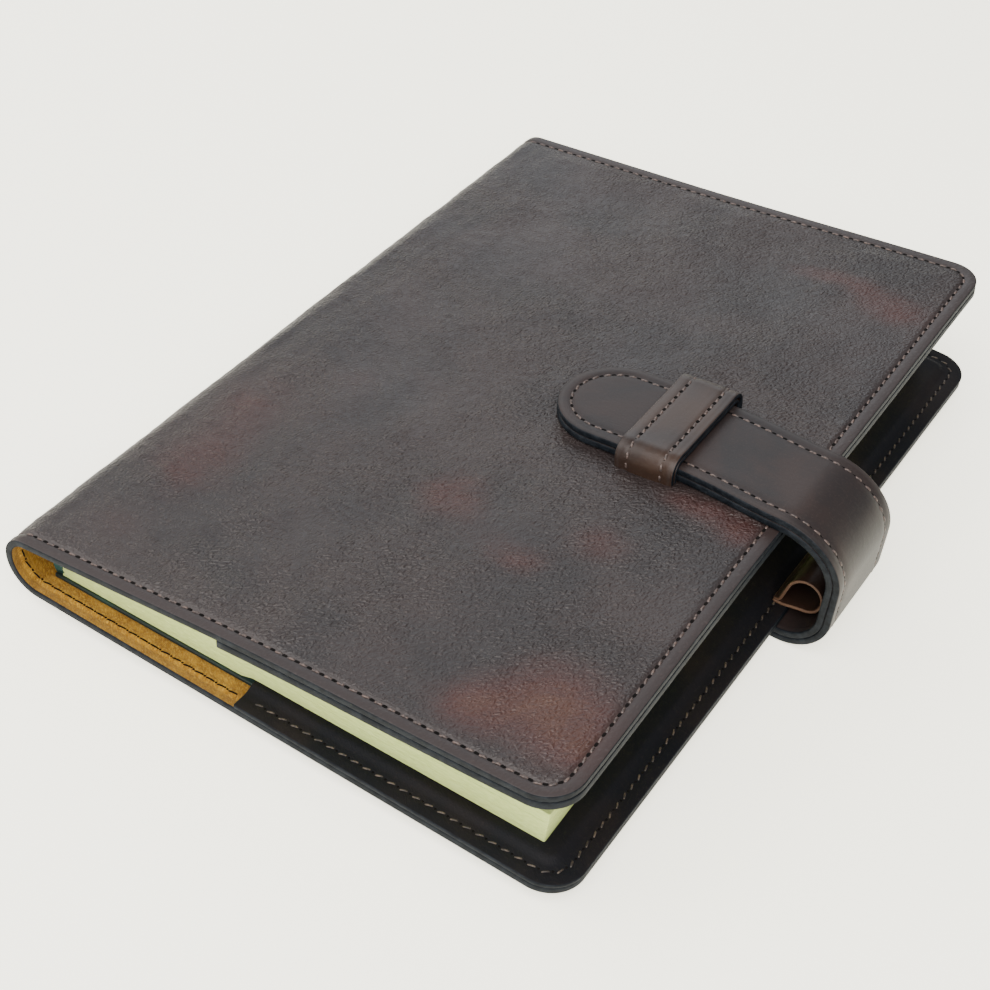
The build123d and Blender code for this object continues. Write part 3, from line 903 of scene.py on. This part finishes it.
def hide_facing(s, sign=1.0):
    """Unit directions out of the hide's outer face, or into the cover with the sign -1."""
    _, _, face_x, face_z = follow(HIDE_LINE, s)
    return sign * np.stack([face_x, np.zeros_like(face_x), face_z], -1)


LIP = 0.3
EDGE_STEP = 0.42
EDGE_REACH = 7.5


def spaced(end, step):
    """Values from 0 to end: a step apart, and finer over the last stretch, for the seam's narrow groove."""
    last = end - EDGE_REACH
    fine = np.linspace(last, end, int(EDGE_REACH / EDGE_STEP) + 1)
    return np.concatenate([np.arange(0.0, last, step), fine])


def hide_grid(length, step=1.35):
    """Distances from the joint line to the fore-edge, and places across, as a grid with round far corners."""
    along = spaced(length - LIP, step)
    half = HALF_HEIGHT - LIP
    flat = half - (CORNER - LIP)
    turn = np.linspace(0, np.pi / 2, 26)
    side = np.concatenate([np.arange(step / 2, flat, step), flat + (CORNER - LIP) * np.sin(turn)])
    across = np.concatenate([-side[::-1], side])
    grid_u, grid_y = np.meshgrid(along, across, indexing="ij")
    return rounded_end(grid_u, grid_y, length - LIP, half, CORNER - LIP), grid_y


# %% [markdown]
# ## The red under the brown
# A dyer rubs dark brown over a red ground, and rubs it thin again in places. Where it is thin can't be left
# to noise, because it belongs to this one hide, so the patches are listed one by one. Noise in the finish
# then breaks up their outlines.

# %% Where the red dye shows through
# Each patch: its middle from the spine and across, its reach both ways in millimetres, and its strength.
RED_PATCHES = [
    (20, -68, 13, 17, 0.75),
    (15, -40, 11, 12, 0.65),
    (33, -22, 9, 10, 0.45),
    (17, -98, 12, 9, 0.45),
    (77, -46, 10, 10, 0.90),
    (100, -56, 10, 7, 0.70),
    (114, -42, 10, 7, 0.75),
    (131, -88, 15, 12, 1.15),
    (117, -100, 12, 8, 0.80),
    (139, -98, 9, 9, 0.90),
    (124, -19, 11, 5, 0.85),
    (139, -22, 8, 7, 0.70),
    (134, 82, 13, 8, 0.90),
    (112, 88, 16, 5, 0.70),
]


def red_dye(s, y):
    """How much red shows through the dark dye: a sum of soft oval patches on the front cover."""
    u = s - FRONT_AT_ZERO
    shown = 0.0 * u
    for middle, across, reach, side, strength in RED_PATCHES:
        shown = shown + strength * np.exp(-(((u - middle) / reach) ** 2) - ((y - across) / side) ** 2)
    return shown


# %% [markdown]
# ## The hinges of the hide
# When the cover opens, leather bends over a few millimetres at each side of the spine. Each half of the hide
# crosses one of the two hinges. Each half has one function that its pieces and their stitches go through, and
# it only bakes their place into the mesh; nothing is bent.


def bend_back(piece):
    """Bakes the place of a piece of the back half into its mesh; it is not bent over the hinge."""
    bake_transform(piece)


def bend_front(piece):
    """Bakes the place of a piece of the front half into its mesh; it is not bent over the hinge."""
    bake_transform(piece)


HALVES = {
    "back": (SPINE_MIDDLE, -1, bend_back),
    "front": (HIDE_END - SPINE_MIDDLE, 1, bend_front),
}


# %% The two parts of the hide
def make_hide():
    """Back and front parts of the hide, from the middle of the spine to the fore-edges."""
    nodes = {"back": ("back_cover_leather",), "front": ("front_cover_leather", "spine_leather")}
    materials = (HIDE, EDGE, SUEDE)
    for name, (length, sign, join) in HALVES.items():
        out, across = hide_grid(length)
        s = SPINE_MIDDLE + sign * out
        face = hide_face(s, across)
        flat = np.stack([s, across], -1)
        measures = {"edge": hide_edge(s, across) * MM, "red": red_dye(s, across)}
        facing = side_of(face, hide_facing(s))
        half = close_sheet(name + "_hide", face, flat, LEATHER, LIP, materials, measures, facing, joined=True)
        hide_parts(*nodes[name])
        join(half)


make_hide()

# %% [markdown]
# ## Sewing on the hide
# One seam runs round the whole edge, 3.4 mm in, round the far corners and back. Outside it shows as dark
# brown stitches between holes painted dark as shade. Inside, on the suede, it shows as a thin dark line in
# the holes' near-black shade colour, and on the pockets as small tan specks.

# %% Hide seams
SEAM_POINTS = 90


def seam_round(length, half, inset, corner, start=0.0):
    """A seam's distances along and across: out along one side, round the end with its corners, and back."""
    end, side, radius = length - inset, half - inset, corner - inset
    turn = np.radians(np.linspace(0, 90, 12))
    lead = np.linspace(start, end - radius, SEAM_POINTS)
    cross = np.linspace(-(side - radius), side - radius, SEAM_POINTS)[1:-1]
    along = [lead, end - radius + radius * np.sin(turn)]
    across = [np.full(SEAM_POINTS, -side), -(side - radius) - radius * np.cos(turn)]
    back_along = [part[::-1] for part in along[::-1]]
    back_across = [-part[::-1] for part in across[::-1]]
    whole_along = np.concatenate([*along, np.full(len(cross), end), *back_along])
    return whole_along, np.concatenate([*across, cross, *back_across])


def sew_hide():
    """The outer seam of each half, and the inner seam where it crosses the suede."""
    nodes = {"back": ("back_seam_thread", "spine_seam_thread"), "front": ("front_seam_thread",)}
    look = {"width": 0.42, "lean": 5, "rise": 0.02, "length": 1.02, "hole": 0.6}
    for name, (length, sign, join) in HALVES.items():
        out, across = seam_round(length, HALF_HEIGHT, SEAM, CORNER)
        s = SPINE_MIDDLE + sign * out
        stitches = sew(name + "_seam", hide_face(s, across, 0.03), hide_facing(s), SEWN)
        join(stitches)
        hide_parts(*nodes[name])
        bare = length - POCKETS[name][0] - 1
        for end, side in (("tail", -1), ("head", 1)):
            s = SPINE_MIDDLE + sign * np.linspace(0, bare, 160)
            y = np.full(160, side * (HALF_HEIGHT - SEAM))
            into = hide_facing(s, -1)
            points = hide_face(s, y, -LEATHER) + 0.02 * into
            # On the suede both the stitches and the holes take the holes' painted shade, and show as one thin
            # dark line.
            inner = sew(f"{name}_{end}_suede_seam", points, into, (HOLE, HOLE), **look)
            join(inner)


# %% [markdown]
# ## Pockets
# A pocket is a second piece of leather inside each cover, sewn in with the hide along three sides and open
# towards the spine. It lies flat on the hide along the seam and steps up over the notebook's board.

# %% Pockets
back_pocket_low, back_pocket_high = node_box("back_pocket")
# Each pocket: its depth in from the fore-edge, the leather's thickness, and the body it rides on.
POCKETS = {
    "back": (back_pocket_high[0] - back_pocket_low[0], 1.1, "back_cover"),
    "front": (86.5, 2.0, "front_cover"),
}
BOARD = 1.0


def pocket_run(name, out):
    """The distance along the hide's profile of a place this far from a pocket's open edge."""
    reach = POCKETS[name][0]
    return reach - out if name == "back" else HIDE_END - reach + out


def pocket_face(s, y, wall):
    """The pocket's open side: the hide's inner face, plus the pocket's wall, plus the board it steps over."""
    d = hide_edge(s, y)
    step = 1.05 * BOARD * ease(d, 4.6, 7.2) + 0.10 * waves(s, y, 24, 41) * ease(d, 5, 9)
    groove = -0.15 * np.exp(-(((d - SEAM) / 0.7) ** 2))
    x, z, face_x, face_z = follow(HIDE_LINE, s)
    depth = LEATHER + wall + step + groove - settle(s, y)
    return np.stack([x - face_x * depth, np.broadcast_to(y, x.shape), z - face_z * depth], -1)


def make_pockets():
    """Both pockets' leather, and the specks of thread that show on it."""
    materials = (POCKET_LEATHER, EDGE, SUEDE)
    look = {"width": 0.46, "lean": 20, "rise": 0.04, "length": 0.8, "hole": 0.7}
    for name, (reach, wall, body) in POCKETS.items():
        out, across = hide_grid(reach, 1.9)
        # The open edge stands out by its rounding, so the grid starts that much inside it.
        s = pocket_run(name, out + LIP * (1 - out / reach))
        face = pocket_face(s, across, wall)
        flat = np.stack([s, across + GRAIN_AT["pocket"]], -1)
        facing = side_of(face, hide_facing(s, -1))
        pocket = close_sheet(name + "_pocket_lining", face, flat, wall, LIP, materials, None, facing)
        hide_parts(name + "_pocket")
        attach(pocket, body)
        out, across = seam_round(reach, HALF_HEIGHT, SEAM, CORNER, start=3.0)
        s = pocket_run(name, out)
        into = hide_facing(s, -1)
        points = pocket_face(s, across, wall) + 0.02 * into
        specks = sew(name + "_pocket_seam", points, into, (PALE_THREAD, HOLE), **look)
        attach(specks, body)


sew_hide()
make_pockets()

# %% [markdown]
# ## The strap
# The strap is two layers, sewn along both sides and round the tip. It starts under the back cover, goes
# round the fore-edge in one loose bend and lies on the front. It leans a few millimetres to the tail as it
# passes the fore-edge. It turns over two hinges when it opens, so it is cut half-way up its side into a lower
# part and an upper part.

# %% The strap's profiles
bend_x = SIDE_X - UPPER_STRAP_BEND
bend_z = FRONT_Z + (bend_x - SPINE_X) * math.tan(TILT) + (STRAP_LIFT - UPPER_STRAP_BEND) / math.cos(TILT)
SIDE_MIDDLE = (LOWER_STRAP_BEND + bend_z) / 2
tongue_start = (bend_x - SPINE_X) * math.cos(TILT) + (bend_z - FRONT_Z) * math.sin(TILT)
UPPER_STRAP = profile(
    run((SIDE_X, SIDE_MIDDLE), (SIDE_X, bend_z), (1, 0)),
    bend((bend_x, bend_z), UPPER_STRAP_BEND, 0, 90 + math.degrees(TILT)),
    run(front_place(tongue_start, STRAP_LIFT), front_place(STRAP_TIP, STRAP_LIFT), FRONT_FACING),
)
LOWER_STRAP = profile(
    run((SIDE_X, SIDE_MIDDLE), (SIDE_X, LOWER_STRAP_BEND), (1, 0)),
    bend((FORE_X, LOWER_STRAP_BEND), LOWER_STRAP_BEND, 0, -90),
    run((FORE_X, 0), (ANCHOR_END, 0), (0, -1)),
)
# Each part: its profile, the way its distance counts from the cut, and the rounding of its far end.
STRAP_PARTS = {"upper": (UPPER_STRAP, 1, STRAP_HALF), "lower": (LOWER_STRAP, -1, 2.0)}
STRAP_LIP = 0.42
STRAP_TURN = 16
print("the strap's parts are", [round(line[-1, 0], 1) for line, _, _ in STRAP_PARTS.values()], "mm long")


def strap_centre(t):
    """Where the strap's middle lies across the cover, t millimetres up from the middle of its side."""
    return STRAP_CENTRE - 4.6 * np.exp(-(((t - 27) / 24) ** 2))


def strap_face(part, s, across, depth=0.0):
    """Points of a strap part: its profile, less a depth, moved across by its lean.

    At no depth it is the outer face, with a groove under the seam, a domed border and a soft swell."""
    line, sign, corner = STRAP_PARTS[part]
    x, z, face_x, face_z = follow(line, s)
    relief = 0.0
    if depth == 0.0:
        d = edge_distance(line[-1, 0] - s, STRAP_HALF - np.abs(across), corner)
        groove = -0.22 * np.exp(-(((d - SEAM) / 0.6) ** 2))
        dome = 0.10 * np.exp(-(((d - 1.6) / 1.0) ** 2)) + 0.10 * ease(d, SEAM, SEAM + 2)
        swell = 0.06 * waves(s, across, 20, 61) * ease(d, 4, 7)
        # The lower part carries the cover's weight, so it is pressed nearly flat.
        share = 0.2 if part == "lower" else 1
        relief = groove + (dome + swell) * share
    height = relief - depth
    return np.stack([x + face_x * height, across + strap_centre(sign * s), z + face_z * height], -1)


def strap_facing(part, s):
    """Unit directions out of a strap part's outer face."""
    _, _, face_x, face_z = follow(STRAP_PARTS[part][0], s)
    return np.stack([face_x, np.zeros_like(face_x), face_z], -1)


def bend_strap(piece, part):
    """Bakes the place of a piece of the lower or the upper part of the strap into its mesh; it is not bent.
    """
    low, high = Vector((FORE_X, 0, 1)) * MM, Vector((SIDE_X, 0, SIDE_MIDDLE - 3)) * MM
    if part == "lower":
        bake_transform(piece)
    else:
        start = Vector((SIDE_X, 0, SIDE_MIDDLE + 3)) * MM
        end = Vector((bend_x - 2, 0, bend_z + UPPER_STRAP_BEND)) * MM
        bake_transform(piece)


def strap_grid(length, corner):
    """Distances along a strap part and places across it, as a grid whose far corners are round."""
    half = STRAP_HALF - STRAP_LIP
    radius = corner - STRAP_LIP
    last = length - STRAP_TURN
    along = np.concatenate([np.arange(0, last, 0.9), np.linspace(last, length - STRAP_LIP, 40)])
    turn = np.linspace(0, np.pi / 2, 18)
    if corner == STRAP_HALF:
        # The tip is one half circle, whose middle would otherwise be there twice.
        turn = turn[1:]
    side = np.concatenate([np.arange(0.4, half - radius, 0.7), half - radius + radius * np.sin(turn)])
    grid_s, grid_y = np.meshgrid(along, np.concatenate([-side[::-1], side]), indexing="ij")
    return rounded_end(grid_s, grid_y, length - STRAP_LIP, half, radius), grid_y


def make_strap():
    """Both layers of both parts, and the seam on the outer face."""
    replaced = {
        ("upper", "outer"): ("strap_tongue_outer", "strap_side_outer"),
        ("upper", "lining"): ("strap_tongue_lining", "strap_side_lining"),
        ("lower", "outer"): ("strap_anchor_outer",),
        ("lower", "lining"): ("strap_anchor_lining",),
    }
    materials = (STRAP_LEATHER, EDGE, STRAP_LEATHER)
    layers = (("outer", 0.0, 0, "strap_leather"), ("lining", STRAP_LAYER, GRAIN_AT["lining"], "strap_lining"))
    for part, (line, _, corner) in STRAP_PARTS.items():
        length = line[-1, 0]
        s, y = strap_grid(length, corner)
        grain_along = GRAIN_AT["lower_strap"] if part == "lower" else 0
        edge = edge_distance(length - s, STRAP_HALF - np.abs(y), corner) * MM
        for layer, depth, grain_across, slot in layers:
            face = strap_face(part, s, y, depth)
            facing = side_of(face, strap_facing(part, s))
            flat = np.stack([s + grain_along, y + grain_across], -1)
            name = f"{part}_strap_{layer}"
            lip, measures = STRAP_LIP, {"edge": edge}
            sheet = close_sheet(name, face, flat, STRAP_LAYER, lip, materials, measures, facing, joined=True)
            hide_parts(*replaced[part, layer])
            bend_strap(sheet, part)
        out, across = seam_round(length, STRAP_HALF, SEAM, max(corner, SEAM + 0.8))
        stitches = sew(part + "_strap_seam", strap_face(part, out, across), strap_facing(part, out), SEWN)
        nodes = ("strap_tongue_thread", "strap_side_thread") if part == "upper" else ("strap_anchor_thread",)
        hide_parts(*nodes)
        bend_strap(stitches, part)


make_strap()

# %% [markdown]
# ## The keeper
# The keeper is a short band of two layers. It comes up through the hide on one side of the strap, turns over
# it and goes down on the other side. Its turns are rounder than its top; use has polished them, but they
# share the top's finish.

# %% Keeper
KEEPER_WALL = 1.2
KEEPER_LINING = 1.0
KEEPER_SEAM = 3.3
KEEPER_LIP = 0.35
KEEPER_PITCH = 2.9


def bridge_line(half, top, foot, radius):
    """The keeper's outline across the strap: up, over and down, as a profile of y and height."""
    shoulder = top - radius
    return profile(
        run((-half, foot), (-half, shoulder), (-1, 0)),
        bend((-half + radius, shoulder), radius, 180, 90),
        run((-half + radius, top), (half - radius, top), (0, 1)),
        bend((half - radius, shoulder), radius, 90, 0),
        run((half, shoulder), (half, foot), (1, 0)),
    )


def keeper_face(line, s, across, puff):
    """Points of the band on the front cover: its outline, with fuller turns and a groove under each seam."""
    y, height, face_y, face_h = follow(line, s)
    total = line[-1, 0]
    d = KEEPER_WIDTH / 2 - np.abs(across)
    turns = np.exp(-(((s - 6) / 4.5) ** 2)) + np.exp(-(((total - s - 6) / 4.5) ** 2))
    crown = 0.22 * (1 - (across / (KEEPER_WIDTH / 2)) ** 2) + 0.55 * turns
    groove = -0.20 * np.exp(-(((d - KEEPER_SEAM) / 0.6) ** 2))
    ripple = 0.07 * waves(s, across, 5.0, 71) * turns
    lift = puff * (crown + groove + ripple)
    y, height = y + face_y * lift, height + face_h * lift
    x, z = front_place(KEEPER_U + across, height)
    return np.stack([x, y + STRAP_CENTRE, z], -1)


def keeper_facing(line, s):
    """Unit directions out of the band."""
    _, _, face_y, face_h = follow(line, s)
    return np.stack([face_h * FRONT_FACING[0], face_y, face_h * FRONT_FACING[1]], -1)


def make_keeper():
    """Both layers of the band and its two rows of stitches."""
    outer = bridge_line(KEEPER_HALF, KEEPER_TOP, -LEATHER, KEEPER_BEND)
    inside = KEEPER_HALF - KEEPER_WALL, KEEPER_TOP - KEEPER_WALL
    lining = bridge_line(*inside, 0.0, KEEPER_BEND - KEEPER_WALL)
    half = KEEPER_WIDTH / 2
    layers = (
        ("outer", outer, KEEPER_WALL, 1.0, "keeper_leather"),
        ("lining", lining, KEEPER_LINING, 0.0, "strap_lining"),
    )
    materials = (KEEPER, EDGE, KEEPER)
    for layer, line, wall, puff, slot in layers:
        along = np.linspace(0, line[-1, 0], 150)
        across = np.linspace(-half + KEEPER_LIP, half - KEEPER_LIP, 32)
        s, w = np.meshgrid(along, across, indexing="ij")
        face = keeper_face(line, s, w, puff)
        facing = side_of(face, keeper_facing(line, s))
        flat = np.stack([s + GRAIN_AT["keeper"], w], -1)
        name, measures = f"keeper_{layer}_band", {"edge": (half - np.abs(w)) * MM}
        band = close_sheet(name, face, flat, wall, KEEPER_LIP, materials, measures, facing)
        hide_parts("keeper_" + layer)
        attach(band, "front_cover")
    for name, side in (("tip", -1), ("edge", 1)):
        # The rows start just over the hide, which the band goes down into by its thickness.
        s = np.linspace(LEATHER + 0.1, outer[-1, 0] - LEATHER - 0.1, 200)
        w = np.full(200, side * (half - KEEPER_SEAM))
        row = keeper_face(outer, s, w, 1.0)
        stitches = sew(f"keeper_{name}_seam", row, keeper_facing(outer, s), SEWN, pitch=KEEPER_PITCH)
        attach(stitches, "front_cover")
        if side == 1:
            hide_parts("keeper_thread")


make_keeper()

# %% [markdown]
# ## The pen loop
# A narrow strip of thin leather goes once round, and both its ends are sewn to the rim of the back pocket,
# so its opening is a teardrop. Its cut edges are left light.

# %% Pen loop
loop_low, loop_high = node_box("pen_loop")
LOOP_WALL = 0.8
LOOP_RADIUS = 4.8
LOOP_CENTRE = (loop_high[0] - LOOP_RADIUS, loop_high[2] - LOOP_RADIUS)
LOOP_NECK = 8.2
NECK_ANGLE = 220.0
LOOP_LIP = 0.25
RIM_Z = BACK_Z + LEATHER + POCKETS["back"][1]


def around(distance, angle):
    """A point at this distance from the loop's centre, in this direction in degrees."""
    turn = math.radians(angle)
    return LOOP_CENTRE[0] + distance * math.cos(turn), LOOP_CENTRE[1] + distance * math.sin(turn)


def make_pen_loop():
    """The strip: from its tab on the pocket's rim, once round the pen's place and back on to the tab."""
    turn = math.degrees(math.acos(LOOP_RADIUS / LOOP_NECK))
    first, last = NECK_ANGLE - 360 + turn, NECK_ANGLE - turn
    neck = around(LOOP_NECK, NECK_ANGLE)
    facings = [(math.cos(math.radians(angle)), math.sin(math.radians(angle))) for angle in (first, last)]
    # The heights of the strip's first end, which lies on the rim, and of its last, which lies on the first.
    under, over = RIM_Z + 0.05, RIM_Z + 1.65
    line = profile(
        run((loop_low[0], under), (neck[0] + 1.5, under), (0, -1)),
        run((neck[0] + 2.5, under + 0.25), around(LOOP_RADIUS, first), facings[0]),
        bend(LOOP_CENTRE, LOOP_RADIUS, first, last),
        run(around(LOOP_RADIUS, last), (neck[0] + 0.3, over + 0.55), facings[1]),
        run((neck[0], over + 0.05), (loop_low[0], over), (-0.2, 1)),
    )
    along = np.linspace(0, line[-1, 0], 120)
    across = np.linspace(loop_low[1] + 0.3, loop_high[1] - 0.3, 30)
    s, y = np.meshgrid(along, across, indexing="ij")
    px, pz, face_x, face_z = follow(line, s)
    lift = 0.12 * waves(s, y, 12, 81)
    face = np.stack([px + face_x * lift, y, pz + face_z * lift], -1)
    facing = side_of(face, np.stack([face_x, 0 * face_x, face_z], -1))
    # The strip has no crease line by its edge, so the finish is told that all of it is 3 mm in.
    measures = {"edge": np.full(s.shape, 3 * MM)}
    flat = np.stack([s, y + GRAIN_AT["pen_loop"]], -1)
    materials = (LOOP, LOOP_EDGE, LOOP)
    loop = close_sheet("pen_loop_strip", face, flat, LOOP_WALL, LOOP_LIP, materials, measures, facing)
    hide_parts("pen_loop")
    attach(loop, "back_cover")


make_pen_loop()

# %% [markdown]
# ## The notebook
# The notebook sits a little askew, as a book does that has been pushed into its pockets by hand. Its boards
# are stiff green sheets, coloured a near-black green with painted shade, and its pages are two blocks whose
# cut edges show as uneven lines.

# %% Notebook
BOOK_ASKEW = math.radians(1.0)
BOOK_CORNER = (140.0, -104.0)
BOOK_LEAN = 3.0
BOOK_SPINE_WALL = 2.4
PAGE_DROP = 1.1
CLOTH = (SHADED_BOARD_CLOTH,) * 3
PAGES = (PAPER,) * 3


def askew(u, y):
    """Turns a place on a cover by a small angle about the notebook's near corner."""
    du, dy = u - BOOK_CORNER[0], y - BOOK_CORNER[1]
    turned_u = BOOK_CORNER[0] + du * math.cos(BOOK_ASKEW) - dy * math.sin(BOOK_ASKEW)
    return turned_u, BOOK_CORNER[1] + du * math.sin(BOOK_ASKEW) + dy * math.cos(BOOK_ASKEW)


def book_grid(start, end, half, corner, step=3.0):
    """Distances from the cover's spine and places across, as a grid with round fore corners."""
    along = np.concatenate([np.arange(start, end - 6, step), np.linspace(end - 6, end, 10)])
    turn = np.linspace(0, np.pi / 2, 8)
    side = np.concatenate([np.arange(step / 2, half - corner, step), half - corner + corner * np.sin(turn)])
    u, y = np.meshgrid(along, np.concatenate([-side[::-1], side]), indexing="ij")
    return rounded_end(u - start, y, end - start, half, corner) + start, y


# %% Boards and pages
def make_slab(name, run_u, half, height, thickness, front=False, jitter=0.0):
    """A board or a block of pages: a closed sheet whose upper face is at a height over a cover's plane.

    It runs from one distance to another from the cover's spine, the two numbers in run_u. With jitter, it is
    a block of pages with an uneven cut edge."""
    start, end = run_u
    u, y = book_grid(start, end, half, 0.3 if jitter else 2.5)
    flat = np.stack([u, y + GRAIN_AT["book"]], -1)
    u, y = askew(u, y)
    if front:
        x, z = front_place(u, height + settle(FRONT_AT_ZERO + u, y))
        toward = (FRONT_FACING[0], 0, FRONT_FACING[1])
    else:
        x, z = SPINE_X + u, BACK_Z + height + 0.0 * u
        toward = (0, 0, 1)
    if jitter:
        # Between the spine and the pocket nothing holds the pages up, so the block is deeper there.
        pocket_start = back_pocket_low[0] - SPINE_X
        thickness = thickness + PAGE_DROP * (1 - ease(u, pocket_start - 4, pocket_start))
    face = np.stack([x, y, z], -1)
    materials, lip = (PAGES, 0.12) if jitter else (CLOTH, 0.2)
    facing = side_of(face, toward)
    return close_sheet(name, face, flat, thickness, lip, materials, None, facing, jitter=jitter)


def place_piece(piece, body, node):
    """Hides the CAD node that a piece of the notebook stands for, and sets the body it rides on."""
    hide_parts(node)
    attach(piece, body)


def make_book_spine(low, high, half):
    """The book's own spine: a stiff strip that leans back to the cover's spine at its top."""
    height = high[2] - low[2]
    z, y = np.meshgrid(np.linspace(0.2, height - 0.2, 12), np.linspace(-half, half, 60), indexing="ij")
    u, y = askew(low[0] - SPINE_X - BOOK_LEAN * (z / height) ** 0.8, y)
    face = np.stack([SPINE_X + u, y, low[2] + z], -1)
    flat = np.stack([z + GRAIN_AT["book_spine"], y], -1)
    cloth = (SPINE_CLOTH,) * 3
    return close_sheet("book_spine", face, flat, BOOK_SPINE_WALL, 0.3, cloth, None, side_of(face, (-1, 0, 0)))


def make_notebook():
    """Two boards, two blocks of pages and the spine between the boards."""
    block_low, block_high = node_box("page_block")
    leaves_low, leaves_high = node_box("front_leaves")
    board_low, board_high = node_box("notebook_back_board")
    board_run = board_low[0] - SPINE_X, board_high[0] - SPINE_X
    page_start, page_end = block_low[0] - SPINE_X, block_high[0] - SPINE_X
    half = block_high[1]

    board = make_slab("back_board", board_run, board_high[1], board_high[2] - BACK_Z, BOARD)
    place_piece(board, "back_cover", "notebook_back_board")
    board = make_slab("front_board", board_run, board_high[1], -LEATHER, BOARD, front=True)
    place_piece(board, "front_cover", "notebook_front_board")

    # The spine leans, so the upper leaves start nearer to the cover's spine than the block does.
    run_u = page_start - 0.4 * BOOK_LEAN, page_end
    pages = make_slab("pages", run_u, half, block_high[2] - BACK_Z, block_high[2] - block_low[2], jitter=0.16)
    place_piece(pages, "back_cover", "page_block")
    run_u = page_start - 0.8 * BOOK_LEAN, page_end
    depth = leaves_high[2] - leaves_low[2]
    leaves = make_slab("leaves", run_u, half, leaves_high[2] - BACK_Z, depth, jitter=0.1)
    place_piece(leaves, "front_leaves", "front_leaves")

    spine = make_book_spine(*node_box("notebook_spine"), half)
    place_piece(spine, "back_cover", "notebook_spine")


make_notebook()
